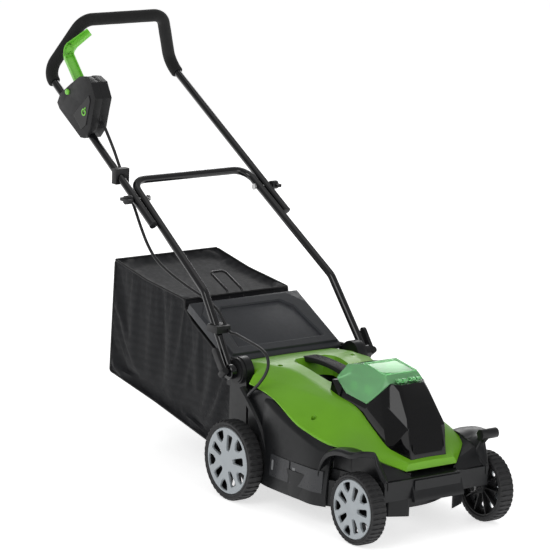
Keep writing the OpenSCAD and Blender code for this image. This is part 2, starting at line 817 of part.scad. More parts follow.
module foam_grip() color(grey) from_blade() swept_tube(
    rounded([
        mirrored(foam_start), mirrored(upper_bend), mirrored(upper_top),
        upper_top, upper_bend, foam_start
    ], 40),
    tube_r + 0.3, foam_d / 2
);

module handle_end_caps() color(black) from_blade() both_sides() {
    out = unit(upper_end - upper_bend);
    bar(upper_end + 0.1 * out, upper_end + 3 * out, tube_r + 0.6);
    bar(upper_end - 14 * out, upper_end + 2 * out, tube_r - tube_wall - 0.1);
}

// The switch box is drawn along the right tube: u runs down the tube, v stands up from it
box_mid = [-880, 731];
box_side = [[-60, -16], [46, -15], [60, -6], [67, 26], [55, 68], [47, 100], [12, 120], [-17, 114],
            [-33, 102], [-54, 64], [-77, 16], [-76, -10]];
box_out_y = -197;
box_split_y = -176;
box_in_y = -152;
button_at = [-54, 40];

module along_tube() translate([box_mid[0], 0, box_mid[1]]) rotate([0, slope, 0]) children();

function inset_side(p, d) = let (mid = [0, 50]) [for (q = p) q - unit(q - mid) * d];

module switch_half(y0, y1, hollow0, hollow1) difference() {
    along_tube() side_plate(box_side, y0, y1);
    along_tube() side_plate(inset_side([for (q = box_side) [q[0], max(q[1], 16)]], 5), hollow0, hollow1);
    bar(mirrored(upper_end), mirrored(upper_bend), tube_r + 0.15);
    // Slot that the bail lever comes out of
    along_tube() block([-70, -185, 44], [-20, -163, 126]);
    along_tube() y_bar(button_at, box_out_y - 1, box_split_y, 7.5);
    bar(cable_a[0], cable_a[1], cable_d / 2 + 0.1);
}

module switch_box_outer() color(black) from_blade()
    switch_half(box_out_y, box_split_y - 0.1, box_out_y + 3, box_split_y);

module switch_box_inner() color(black) from_blade()
    switch_half(box_split_y + 0.1, box_in_y, box_split_y, box_in_y - 3);

module switch_unit() color(grey) from_blade() along_tube() block([8, -186, 24], [40, -164, 50]);

bail_pivot = [-866, 775];
bail_path = [[-874, -174, 800], [-966, -165, 880], [-938, -118, 925]];

module bail_lever() color(green) from_blade() {
    y_bar(bail_pivot, -183, -165, 9);
    bar([bail_pivot[0] - 2, -174, bail_pivot[1] + 6], bail_path[0] + [-3, 0, 2], 6);
    swept_bar(rounded(bail_path, 24), 8.5, 16);
}

module lock_button() color(green) from_blade() along_tube() {
    y_bar(button_at, box_out_y - 4, box_out_y + 8, 6.9);
}

// A clip around the handle tube and the end of a cable, given by its two corners
module cable_clip(low, high, tube_a, tube_b, route) color(black) from_blade() difference() {
    last = route[len(route) - 1];
    step = last - route[len(route) - 2];
    block(low, high);
    bar(tube_a, tube_b, tube_r + 0.1);
    bar(last - 2 * step, last + step, cable_d / 2);
}

module cable_clip_upper() cable_clip([-715, -196, 610], [-697, -160, 646],
                                     mirrored(upper_end), mirrored(upper_bend), cable_a);
module cable_clip_lower() cable_clip([-324, -195, 348], [-286, -158, 364],
                                     mirrored(lower_bend), [pivot[0], -pivot_y, pivot[1]], cable_b);

module cable_upper() color(black) from_blade() cord(cable_a);
module cable_middle() color(black) from_blade() cord(cable_b);
module cable_lower() color(black) from_blade() cord(cable_c);

// ---- flap and grass bag ----

module rear_flap() color(grey) from_blade() difference() {
    union() {
        translate([flap_hinge[0], 0, flap_hinge[1]]) rotate([0, flap_slope, 0]) {
            block([-flap_len, -flap_w / 2, 3], [0, flap_w / 2, 6]);
            block([-flap_len, -flap_w / 2, -14], [-flap_len + 3, flap_w / 2, 5]);
            both_sides() block([-flap_len, flap_w / 2 - 3, -14], [-8, flap_w / 2, 5]);
        }
        y_bar(flap_hinge, -145, 145, 6);
    }
    y_bar(flap_hinge, -200, 200, hinge_r + run);
}

// Outline of the bag seen from the side
bag_side = [[-301, 74], [-301, 258], [-455, 336], [-484, 360], [-486, 380], [-640, 394], [-770, 416],
            [-782, 149], [-595, 119], [-372, 76]];
bag_w = 286;

module grass_bag() color([0.13, 0.13, 0.14]) from_blade() difference() {
    side_plate(bag_side, -bag_w / 2, bag_w / 2);
    side_plate([[-290, 78], [-290, 251], [-303, 255], [-453, 333], [-480, 358], [-484, 378], [-640, 392],
                [-768, 413.5], [-780, 151], [-595, 121], [-372, 78]], bag_t - bag_w / 2, bag_w / 2 - bag_t);
}

wire_r = 3;
frame_x = -306;
frame_y = 136;

// Wire frame inside the bag's mouth, with the carry loop standing out of the top
module bag_frame() color(grey) from_blade() {
    low = [frame_x, frame_y, 88];
    high = [frame_x, frame_y, 248];
    mid = [-452, frame_y, 325];
    top = [-474, frame_y, 346];
    swept_bar(rounded([mirrored(high), mirrored(low), low, high], 12), wire_r);
    both_sides() {
        bar(high, mid, wire_r);
        bar(mid, top, wire_r);
        for (p = [high, mid, top]) translate(p) sphere(r = wire_r + 0.4);
    }
    bar(mirrored(top), top, wire_r);
    swept_bar(
        rounded([[-474, -20, 346], [-496, -20, 386], [-566, -20, 414], [-566, 20, 414], [-496, 20, 386],
                 [-474, 20, 346]], 12),
        wire_r - 0.2
    );
}

deck();
motor_cover();
front_cowl();
battery_tray();
carry_handle();
motor_stator();
motor_bearings();
controller_board();
height_sector();
handle_hubs();
flap_hinge_pin();
cover_screws();
axle_brackets();
safety_key();
motor_rotor();
blade_adapter();
cutting_blade();
blade_bolt();
front_axle();
height_lever();
lever_grip();
rear_axle();
tie_rod();
tyre_front_right();
tyre_front_left();
tyre_rear_right();
tyre_rear_left();
wheel_front_right();
wheel_front_left();
wheel_rear_right();
wheel_rear_left();
hubcap_front_right();
hubcap_front_left();
hubcap_rear_right();
hubcap_rear_left();
lower_handle();
handle_bolts();
cable_clip_lower();
cam_lever_right();
cam_lever_left();
upper_handle();
foam_grip();
handle_end_caps();
switch_box_outer();
switch_box_inner();
switch_unit();
cable_upper();
cable_clip_upper();
wing_knob_right();
wing_knob_left();
bail_lever();
lock_button();
battery_lid();
battery_pack_right();
battery_pack_left();
rear_flap();
grass_bag();
bag_frame();
cable_middle();
cable_lower();
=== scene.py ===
"""Looks of the push lawn mower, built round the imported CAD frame. Lengths here are in millimetres."""

import json
import math

import bmesh
import bpy
from mathutils import Matrix, Vector
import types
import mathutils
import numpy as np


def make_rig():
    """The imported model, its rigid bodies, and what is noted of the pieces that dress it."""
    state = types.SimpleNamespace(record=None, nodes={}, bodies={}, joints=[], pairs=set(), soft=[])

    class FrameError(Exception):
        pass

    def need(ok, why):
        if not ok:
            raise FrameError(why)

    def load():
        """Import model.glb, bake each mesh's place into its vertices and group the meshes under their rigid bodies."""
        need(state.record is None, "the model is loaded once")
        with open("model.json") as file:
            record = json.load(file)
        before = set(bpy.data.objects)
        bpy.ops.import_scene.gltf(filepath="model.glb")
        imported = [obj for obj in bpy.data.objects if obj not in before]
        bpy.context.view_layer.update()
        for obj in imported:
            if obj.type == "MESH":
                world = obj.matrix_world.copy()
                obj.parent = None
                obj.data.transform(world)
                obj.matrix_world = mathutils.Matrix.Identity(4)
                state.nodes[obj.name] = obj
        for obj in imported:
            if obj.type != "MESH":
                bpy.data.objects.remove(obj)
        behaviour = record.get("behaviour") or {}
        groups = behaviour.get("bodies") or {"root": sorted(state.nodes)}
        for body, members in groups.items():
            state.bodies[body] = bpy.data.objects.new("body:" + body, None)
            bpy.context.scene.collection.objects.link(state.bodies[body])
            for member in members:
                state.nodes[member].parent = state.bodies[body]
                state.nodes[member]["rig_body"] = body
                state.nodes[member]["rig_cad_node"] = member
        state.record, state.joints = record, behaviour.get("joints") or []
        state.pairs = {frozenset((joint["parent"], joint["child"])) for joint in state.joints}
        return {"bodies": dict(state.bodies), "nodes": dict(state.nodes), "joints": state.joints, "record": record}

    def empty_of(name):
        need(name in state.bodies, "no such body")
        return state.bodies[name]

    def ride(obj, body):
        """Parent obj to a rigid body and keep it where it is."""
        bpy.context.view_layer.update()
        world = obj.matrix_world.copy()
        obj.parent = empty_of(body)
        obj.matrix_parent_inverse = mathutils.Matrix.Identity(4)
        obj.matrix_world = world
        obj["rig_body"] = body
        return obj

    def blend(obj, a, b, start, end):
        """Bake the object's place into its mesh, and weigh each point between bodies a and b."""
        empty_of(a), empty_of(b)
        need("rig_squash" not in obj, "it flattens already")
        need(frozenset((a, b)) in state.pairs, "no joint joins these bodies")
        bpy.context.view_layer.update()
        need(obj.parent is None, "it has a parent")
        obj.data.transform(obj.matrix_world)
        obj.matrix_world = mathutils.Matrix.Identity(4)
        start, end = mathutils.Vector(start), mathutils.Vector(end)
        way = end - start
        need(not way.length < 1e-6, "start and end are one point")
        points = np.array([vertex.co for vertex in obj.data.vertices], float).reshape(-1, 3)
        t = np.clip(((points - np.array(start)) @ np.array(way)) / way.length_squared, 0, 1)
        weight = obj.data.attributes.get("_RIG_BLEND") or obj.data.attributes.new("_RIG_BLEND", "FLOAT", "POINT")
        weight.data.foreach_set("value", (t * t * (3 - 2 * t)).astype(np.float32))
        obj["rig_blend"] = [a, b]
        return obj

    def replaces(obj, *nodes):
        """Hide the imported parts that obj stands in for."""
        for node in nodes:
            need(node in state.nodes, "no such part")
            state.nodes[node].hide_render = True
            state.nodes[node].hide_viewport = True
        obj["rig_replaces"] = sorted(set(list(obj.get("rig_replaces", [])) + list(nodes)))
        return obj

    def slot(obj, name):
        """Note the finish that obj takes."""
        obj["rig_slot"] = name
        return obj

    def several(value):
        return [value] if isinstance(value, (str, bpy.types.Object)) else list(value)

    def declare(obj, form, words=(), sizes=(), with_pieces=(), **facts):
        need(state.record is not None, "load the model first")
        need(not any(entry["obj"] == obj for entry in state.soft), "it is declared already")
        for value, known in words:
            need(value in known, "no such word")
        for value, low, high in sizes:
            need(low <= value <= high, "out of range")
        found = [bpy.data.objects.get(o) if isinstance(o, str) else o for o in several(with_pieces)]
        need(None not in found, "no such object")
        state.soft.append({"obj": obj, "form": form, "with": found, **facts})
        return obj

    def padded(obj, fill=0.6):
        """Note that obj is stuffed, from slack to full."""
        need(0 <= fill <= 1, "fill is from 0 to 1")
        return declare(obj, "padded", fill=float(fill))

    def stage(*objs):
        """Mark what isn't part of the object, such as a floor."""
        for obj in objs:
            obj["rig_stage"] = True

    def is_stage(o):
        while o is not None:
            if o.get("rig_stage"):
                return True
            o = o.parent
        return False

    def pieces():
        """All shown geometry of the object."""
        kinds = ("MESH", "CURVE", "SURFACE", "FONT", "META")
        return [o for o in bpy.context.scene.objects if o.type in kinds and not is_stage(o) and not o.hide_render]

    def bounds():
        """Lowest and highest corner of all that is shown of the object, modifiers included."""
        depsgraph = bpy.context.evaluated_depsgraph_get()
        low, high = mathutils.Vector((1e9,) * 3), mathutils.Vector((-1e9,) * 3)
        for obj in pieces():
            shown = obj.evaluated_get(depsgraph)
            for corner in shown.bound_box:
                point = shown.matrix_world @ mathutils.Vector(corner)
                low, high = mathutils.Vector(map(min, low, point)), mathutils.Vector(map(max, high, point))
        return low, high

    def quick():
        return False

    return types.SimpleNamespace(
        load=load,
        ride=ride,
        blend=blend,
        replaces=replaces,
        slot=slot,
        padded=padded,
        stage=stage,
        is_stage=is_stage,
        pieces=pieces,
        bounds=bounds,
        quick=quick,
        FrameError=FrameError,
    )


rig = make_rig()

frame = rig.load()
cad_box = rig.bounds()

BLADE_X = 373.0
MM = 0.001
RIGHT, LEFT = -1, 1
SIDES = ((RIGHT, "right"), (LEFT, "left"))
NODES = frame["nodes"]
SLOT_OF = {p["node"]: p["material_slot"] for p in frame["record"]["subparts"]}


# ---- points and paths, with x from the blade axis ----


def at(x, y, z):
    """The point in metres in the frame of the whole machine."""
    return Vector(((x + BLADE_X) * MM, y * MM, z * MM))


def lerp(a, b, t):
    return a + (b - a) * t


def mirrored(p):
    return (p[0], -p[1], p[2])


def smooth(points, steps):
    """A smooth curve through the points."""
    pts = [Vector(p) for p in points]
    out = []
    for i in range(len(pts) - 1):
        a, b = pts[max(i - 1, 0)], pts[i]
        c, d = pts[i + 1], pts[min(i + 2, len(pts) - 1)]
        for s in range(steps):
            t = s / steps
            out.append(
                0.5
                * (
                    2 * b
                    + (c - a) * t
                    + (2 * a - 5 * b + 4 * c - d) * t * t
                    + (3 * b - a - 3 * c + d) * t**3
                )
            )
    return out + [pts[-1]]


def rounded(points, bend, step=5):
    """The run of points with each inner corner turned into an arc of radius bend."""
    pts = [Vector(p) for p in points]
    out = [pts[0]]
    for i in range(1, len(pts) - 1):
        u = (pts[i] - pts[i - 1]).normalized()
        w = (pts[i + 1] - pts[i]).normalized()
        turn = math.acos(max(-1, min(1, u.dot(w))))
        if turn < 0.02:
            out.append(pts[i])
            continue
        side = (w - u * u.dot(w)).normalized()
        centre = pts[i] - u * bend * math.tan(turn / 2) + side * bend
        n = max(2, math.ceil(math.degrees(turn) / step))
        for j in range(n + 1):
            t = turn * j / n
            out.append(centre + bend * (math.sin(t) * u - math.cos(t) * side))
    return out + [pts[-1]]


def resampled(points, gap):
    """Extra points so that none are further apart than gap."""
    out = [points[0]]
    for a, b in zip(points, points[1:]):
        n = max(1, math.ceil((b - a).length / gap))
        out += [a.lerp(b, k / n) for k in range(1, n + 1)]
    return out


# ---- mesh building ----


class Shape:
    """Vertices and faces gathered from closed forms."""

    def __init__(self):
        self.v = []
        self.f = []

    def add(self, verts, faces):
        n = len(self.v)
        for p in verts:
            self.v.append(tuple(Vector(p)))
        self.f += [[i + n for i in f] for f in faces]
        return self

    def grid(self, rings, wrap=True, caps=True):
        """Quads between rings that have the same number of points."""
        m, n = len(rings), len(rings[0])
        verts = [p for r in rings for p in r]
        faces = []
        for i in range(m - 1):
            for k in range(n if wrap else n - 1):
                q = (k + 1) % n
                faces.append([i * n + k, i * n + q, (i + 1) * n + q, (i + 1) * n + k])
        if caps:
            faces.append(list(range(n - 1, -1, -1)))
            faces.append([(m - 1) * n + k for k in range(n)])
        return self.add(verts, faces)

    def prism(self, outline, y0, y1):
        """A side outline in x and z, extruded in y."""
        return self.grid([[(x, y, z) for x, z in outline] for y in (y0, y1)])

    def box(self, low, high):
        """A block between two corners."""
        a, b = low, high
        ring = [(a[0], a[1]), (b[0], a[1]), (b[0], b[1]), (a[0], b[1])]
        return self.grid([[(x, y, z) for x, y in ring] for z in (a[2], b[2])])

    def tube(self, path, r, sides=24, caps=True):
        """A round bar along the path; r may be a function of the distance along and from the end."""
        pts = [Vector(p) for p in path]
        total = sum((b - a).length for a, b in zip(pts, pts[1:]))
        side = None
        gone = 0.0
        rings = []
        for i, p in enumerate(pts):
            t = (pts[min(i + 1, len(pts) - 1)] - pts[max(i - 1, 0)]).normalized()
            if side is None:
                side = t.cross(Vector((0.9, 0.3, 0.1))).normalized()
            side = (side - t * side.dot(t)).normalized()
            up = t.cross(side)
            if i:
                gone += (p - pts[i - 1]).length
            radius = r(gone, total - gone) if callable(r) else r
            turns = [2 * math.pi * k / sides for k in range(sides)]
            rings.append([p + radius * (math.cos(q) * side + math.sin(q) * up) for q in turns])
        return self.grid(rings, caps=caps)

    def section(self, path, outline, toward):
        """A flat outline carried along the path, its second axis kept near toward."""
        pts = [Vector(p) for p in path]
        rings = []
        for i, p in enumerate(pts):
            t = (pts[min(i + 1, len(pts) - 1)] - pts[max(i - 1, 0)]).normalized()
            b = (Vector(toward) - t * t.dot(Vector(toward))).normalized()
            a = t.cross(b)
            shape = outline(i / (len(pts) - 1)) if callable(outline) else outline
            rings.append([p + a * u + b * w for u, w in shape])
        return self.grid(rings)

    def revolve(self, profile, centre, axis="y", n=48, flip=1):
        """A closed profile of (radius, distance along the axis) turned about the axis."""
        rings = []
        for k in range(n):
            c, s = math.cos(2 * math.pi * k / n), math.sin(2 * math.pi * k / n)
            ring = []
            for r, h in profile:
                h = h * flip
                local = {"y": (r * c, h, r * s), "z": (r * c, r * s, h), "x": (h, r * c, r * s)}
                ring.append(tuple(Vector(centre) + Vector(local[axis])))
            rings.append(ring)
        m = len(profile)
        verts = [p for r in rings for p in r]
        faces = []
        for k in range(n):
            q = (k + 1) % n
            for j in range(m):
                g = (j + 1) % m
                faces.append([k * m + j, k * m + g, q * m + g, q * m + j])
        return self.add(verts, faces)

    def build(self, name):
        """A mesh object with clean outward faces, in metres."""
        mesh = bpy.data.meshes.new(name)
        mesh.from_pydata([at(*p) for p in self.v], [], self.f)
        o = bpy.data.objects.new(name, mesh)
        bpy.context.scene.collection.objects.link(o)
        clean(mesh)
        return o


def clean(mesh, flat=0.0):
    """Merges doubled points, drops faces with no area and turns the faces outwards."""
    bm = bmesh.new()
    bm.from_mesh(mesh)
    bmesh.ops.remove_doubles(bm, verts=bm.verts, dist=2e-6)
    bmesh.ops.dissolve_degenerate(bm, edges=bm.edges, dist=1e-6)
    if flat:
        bmesh.ops.dissolve_limit(bm, angle_limit=flat, verts=bm.verts, edges=bm.edges)
    bmesh.ops.recalc_face_normals(bm, faces=bm.faces)
    bm.to_mesh(mesh)
    bm.free()
    mesh.update()


def bake(o):
    """Applies the object's modifiers to its mesh."""
    deps = bpy.context.evaluated_depsgraph_get()
    mesh = bpy.data.meshes.new_from_object(o.evaluated_get(deps), depsgraph=deps)
    o.modifiers.clear()
    o.data = mesh
    return o


def combine(o, tool, operation="DIFFERENCE"):
    """Cuts the tool out of the object, or joins it on, and removes the tool."""
    m = o.modifiers.new("cut", "BOOLEAN")
    m.operation = operation
    m.object = tool
    m.solver = "EXACT"
    bake(o)
    bpy.data.objects.remove(tool)
    return o


def soften(o, width, segments=3, angle=30):
    """Rounds every edge sharper than the angle."""
    m = o.modifiers.new("soften", "BEVEL")
    m.width = width * MM
    m.segments = segments
    m.limit_method = "ANGLE"
    m.angle_limit = math.radians(angle)
    m.harden_normals = True
    m.miter_outer = "MITER_ARC"
    o.data.polygons.foreach_set("use_smooth", [True] * len(o.data.polygons))
    return o


def shade(o, angle=35):
    """Smooth faces, with a crease wherever the surface turns by more than the angle."""
    o.data.polygons.foreach_set("use_smooth", [True] * len(o.data.polygons))
    o.data.set_sharp_from_angle(angle=math.radians(angle))
    return o


def place(o, body, slot, material, nodes=()):
    """Gives the piece its material and its body, and hides the CAD nodes it stands for."""
    if material:
        o.data.materials.clear()
        o.data.materials.append(MATERIALS[material])
    if body:
        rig.ride(o, body)
    if nodes:
        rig.replaces(o, *nodes)
    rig.slot(o, slot)
    return o


def copy_of(node):
    """A copy of a CAD node's mesh with its flat faces joined up."""
    o = bpy.data.objects.new(node + "_look", NODES[node].data.copy())
    bpy.context.scene.collection.objects.link(o)
    clean(o.data, flat=math.radians(1.0))
    return o


def refined(node, width, angle=30, segments=2):
    """A copy of a CAD node with rounded edges, which stands for the node."""
    o = soften(copy_of(node), width, segments, angle)
    slot = SLOT_OF[node]
    return place(o, NODES[node]["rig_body"], slot, slot, [node])


# ---- materials ----

MATERIALS = {}
# Size in mm of the patches of colour; the patches of roughness are a sixth as wide
PATCH = 60.0


def material(name, colour, rough, **k):
    """Moulded, painted or woven surface: colour drift, roughness drift and a fine bump.

    grain is the size of the bump's detail in millimetres, depth its height, drift how much the
    colour varies and rub how much lighter the sharp outward edges are.
    """
    m = bpy.data.materials.new(name)
    m.use_nodes = True
    nodes, links = m.node_tree.nodes, m.node_tree.links
    shader = nodes["Principled BSDF"]
    for socket, value in (
        ("Metallic", k.get("metal", 0.0)),
        ("Coat Weight", k.get("coat", 0.0)),
        ("Coat Roughness", k.get("coat_rough", 0.1)),
        ("Sheen Weight", k.get("sheen", 0.0)),
        ("Sheen Roughness", 0.4),
        ("IOR", k.get("ior", 1.5)),
        ("Transmission Weight", k.get("clear", 0.0)),
        ("Specular IOR Level", k.get("spec", 0.4)),
        ("Emission Color", (1.0, 1.0, 1.0, 1.0)),
        ("Emission Strength", k.get("glow", 0.0)),
    ):
        shader.inputs[socket].default_value = value
    place_in = nodes.new("ShaderNodeTexCoord").outputs["Object"]

    def noise(size, detail=3.0):
        n = nodes.new("ShaderNodeTexNoise")
        n.inputs["Scale"].default_value = 1000.0 / size
        n.inputs["Detail"].default_value = detail
        links.new(place_in, n.inputs["Vector"])
        return n.outputs["Fac"]

    def ramp(value, low, high):
        r = nodes.new("ShaderNodeMapRange")
        r.inputs["To Min"].default_value = low
        r.inputs["To Max"].default_value = high
        r.inputs["From Min"].default_value = 0.3
        r.inputs["From Max"].default_value = 0.7
        links.new(value, r.inputs["Value"])
        return r.outputs["Result"]

    def tint(amount, base, other):
        mix = nodes.new("ShaderNodeMix")
        mix.data_type = "RGBA"
        links.new(amount, mix.inputs["Factor"])
        for socket, c in ((mix.inputs["A"], base), (mix.inputs["B"], other)):
            if isinstance(c, tuple):
                socket.default_value = (*c, 1.0)
            else:
                links.new(c, socket)
        return mix.outputs["Result"]

    drift = k.get("drift", 0.08)
    darker = tuple(c * (1 - drift) for c in colour)
    lighter = tuple(min(1.0, c * (1 + drift)) for c in colour)
    out = tint(ramp(noise(PATCH), 0.0, 1.0), darker, lighter)
    if k.get("rub"):
        # Lighter colour on sharp outward edges, found from the mesh's pointiness
        edge = nodes.new("ShaderNodeNewGeometry").outputs["Pointiness"]
        edge_mask = nodes.new("ShaderNodeMapRange")
        edge_mask.inputs["From Min"].default_value = 0.53
        edge_mask.inputs["From Max"].default_value = 0.62
        edge_mask.inputs["To Max"].default_value = k["rub"]
        links.new(edge, edge_mask.inputs["Value"])
        pale = tuple(min(1.0, c * 1.6 + 0.03) for c in colour)
        out = tint(edge_mask.outputs["Result"], out, pale)
    links.new(out, shader.inputs["Base Color"])
    spread = k.get("spread", 0.05)
    dull = ramp(noise(PATCH / 6), rough - spread, rough + spread)
    links.new(dull, shader.inputs["Roughness"])
    height = noise(k.get("grain", 0.8), 2.0)
    if k.get("rib"):
        # Fine woven ribs that run level, added to the noise
        wave = nodes.new("ShaderNodeTexWave")
        wave.bands_direction = "Z"
        wave.inputs["Scale"].default_value = 1000.0 / k["rib"] * 0.05
        wave.inputs["Distortion"].default_value = 0.6
        wave.inputs["Detail Scale"].default_value = 2.0
        links.new(place_in, wave.inputs["Vector"])
        add = nodes.new("ShaderNodeMath")
        add.operation = "ADD"
        links.new(wave.outputs["Fac"], add.inputs[0])
        links.new(height, add.inputs[1])
        height = add.outputs["Value"]
    bump = nodes.new("ShaderNodeBump")
    bump.inputs["Strength"].default_value = k.get("bump", 0.15)
    bump.inputs["Distance"].default_value = k.get("depth", 0.05) * MM
    links.new(height, bump.inputs["Height"])
    links.new(bump.outputs["Normal"], shader.inputs["Normal"])
    MATERIALS[name] = m
    return m


material("deck_plastic", (0.0085, 0.009, 0.010), 0.36, grain=0.7, bump=0.20, rub=0.10, spec=0.3)
material(
    "cover_green", (0.165, 0.430, 0.016), 0.34,
    grain=0.9, bump=0.10, coat=0.06, coat_rough=0.25, drift=0.04, spec=0.28,
)
material(
    "cowl_black", (0.003, 0.003, 0.0035), 0.05,
    grain=1.5, bump=0.02, coat=0.15, coat_rough=0.03, spread=0.02, spec=0.28,
)
material("grip_black", (0.012, 0.012, 0.013), 0.44, grain=0.6, bump=0.3, rub=0.12, spec=0.3)
material("battery_grey", (0.030, 0.030, 0.033), 0.45, grain=0.7, bump=0.25)
material("motor_metal", (0.42, 0.42, 0.43), 0.38, metal=1.0, grain=0.9, bump=0.4)
material("bare_steel", (0.50, 0.50, 0.50), 0.30, metal=1.0, grain=0.5, bump=0.12)
material("board_green", (0.010, 0.085, 0.030), 0.35, grain=2.0, bump=0.1)
material(
    "tube_black", (0.005, 0.005, 0.006), 0.13,
    grain=1.2, bump=0.05, coat=0.3, coat_rough=0.08, spread=0.04, spec=0.4,
)
material("foam_black", (0.014, 0.014, 0.014), 0.88, grain=0.9, bump=0.8, depth=0.25, sheen=0.15, spec=0.25)
material("tyre_rubber", (0.019, 0.019, 0.020), 0.62, grain=0.8, bump=0.35, depth=0.1, rub=0.10, spec=0.35)
material("wheel_black", (0.013, 0.013, 0.014), 0.42, grain=0.8, bump=0.2)
material("hubcap_silver", (0.36, 0.39, 0.41), 0.36, metal=0.25, grain=0.5, bump=0.08, drift=0.03)
material("bail_green", (0.190, 0.600, 0.060), 0.28, grain=1.0, bump=0.06, coat=0.2, drift=0.04)
material("cable_black", (0.012, 0.012, 0.013), 0.42, grain=0.5, bump=0.2)
material(
    "bag_fabric", (0.0105, 0.011, 0.013), 0.66,
    grain=0.5, bump=0.5, depth=0.15, sheen=0.06, drift=0.12, spec=0.22,
)
material(
    "bag_mesh", (0.0100, 0.0104, 0.012), 0.62,
    grain=0.6, bump=0.9, depth=0.6, sheen=0.05, rib=3.0, spec=0.2,
)
material("bag_piping", (0.009, 0.009, 0.010), 0.55, grain=0.5, bump=0.4)
material("flap_grey", (0.028, 0.030, 0.035), 0.44, grain=0.6, bump=0.35, rub=0.10, spec=0.35)
material("label_dark", (0.030, 0.031, 0.034), 0.30, grain=3.0, bump=0.03)
material("label_pale", (0.20, 0.205, 0.21), 0.38, grain=3.0, bump=0.03)
material(
    "lid_green", (0.46, 0.95, 0.50), 0.04,
    clear=0.68, ior=1.35, grain=3.0, bump=0.01, drift=0.02, spread=0.015,
)
material("cell_green", (0.55, 0.68, 0.26), 0.35, grain=1.0, bump=0.1)


# ---- floor, light and camera ----


def build_stage():
    """A wide pale floor that reaches past the picture from every side."""
    mesh = bpy.data.meshes.new("floor")
    reach, n = 30.0, 12
    ticks = [lerp(-reach, reach, k / n) for k in range(n + 1)]
    verts = [(x, y, -0.0004) for y in ticks for x in ticks]
    faces = []
    for r in range(n):
        for c in range(n):
            a = r * (n + 1) + c
            faces.append([a, a + 1, a + n + 2, a + n + 1])
    mesh.from_pydata(verts, [], faces)
    o = bpy.data.objects.new("floor", mesh)
    bpy.context.scene.collection.objects.link(o)
    material("floor_pale", (0.95, 0.95, 0.95), 0.85, grain=30.0, bump=0.0, drift=0.004, glow=0.66, spec=0.1)
    mesh.materials.append(MATERIALS["floor_pale"])
    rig.stage(o)


def area_light(name, where, aim, size, power):
    """A square light aimed at a point."""
    data = bpy.data.lights.new(name, "AREA")
    data.shape = "RECTANGLE"
    data.size = size
    data.size_y = size
    data.energy = power
    o = bpy.data.objects.new(name, data)
    o.location = where
    o.rotation_euler = (Vector(aim) - Vector(where)).to_track_quat("-Z", "Y").to_euler()
    bpy.context.scene.collection.objects.link(o)


def build_light():
    """A key light at the right front, one behind on the left, weaker ones in front and above."""
    world = bpy.data.worlds.new("studio")
    world.use_nodes = True
    world.node_tree.nodes["Background"].inputs["Color"].default_value = (1.0, 1.0, 1.0, 1.0)
    world.node_tree.nodes["Background"].inputs["Strength"].default_value = 0.36
    bpy.context.scene.world = world
    aim = (0.05, 0.0, 0.35)
    area_light("key", (1.6, -3.4, 2.9), aim, 2.2, 42)
    area_light("top", (-0.2, 0.2, 3.6), aim, 2.6, 9)
    area_light("front", (3.8, 0.6, 1.5), aim, 1.6, 18)
    area_light("back", (-2.8, 2.4, 2.2), aim, 1.8, 30)


def build_camera():
    """The camera that looks at the machine from its right front."""
    az, el, roll = math.radians(53.4), math.radians(12.5), math.radians(2.0)
    distance, target = 7.2098, Vector((0.031, 0.0, 0.450))
    back = Vector((math.sin(az) * math.cos(el), -math.cos(az) * math.cos(el), math.sin(el)))
    flat = Vector((math.cos(az), math.sin(az), 0))
    up = flat.cross(-back)
    side = math.cos(roll) * flat + math.sin(roll) * up
    top = -math.sin(roll) * flat + math.cos(roll) * up
    turn = Matrix((side, top, back)).transposed().to_4x4()
    data = bpy.data.cameras.new("camera")
    data.sensor_width = 36.0
    data.lens = 210.992727
    data.clip_end = 50.0
    o = bpy.data.objects.new("camera", data)
    o.matrix_world = Matrix.Translation(target + back * distance) @ turn
    bpy.context.scene.collection.objects.link(o)
    bpy.context.scene.camera = o


build_stage()
build_light()
build_camera()
bpy.context.scene.view_settings.view_transform = "Standard"


# ---- wheels ----

FRONT_WHEEL = dict(x=212.0, d=154.0, y=155.0)
REAR_WHEEL = dict(x=-187.0, d=178.0, y=192.5)
TYRE_W = 36.0


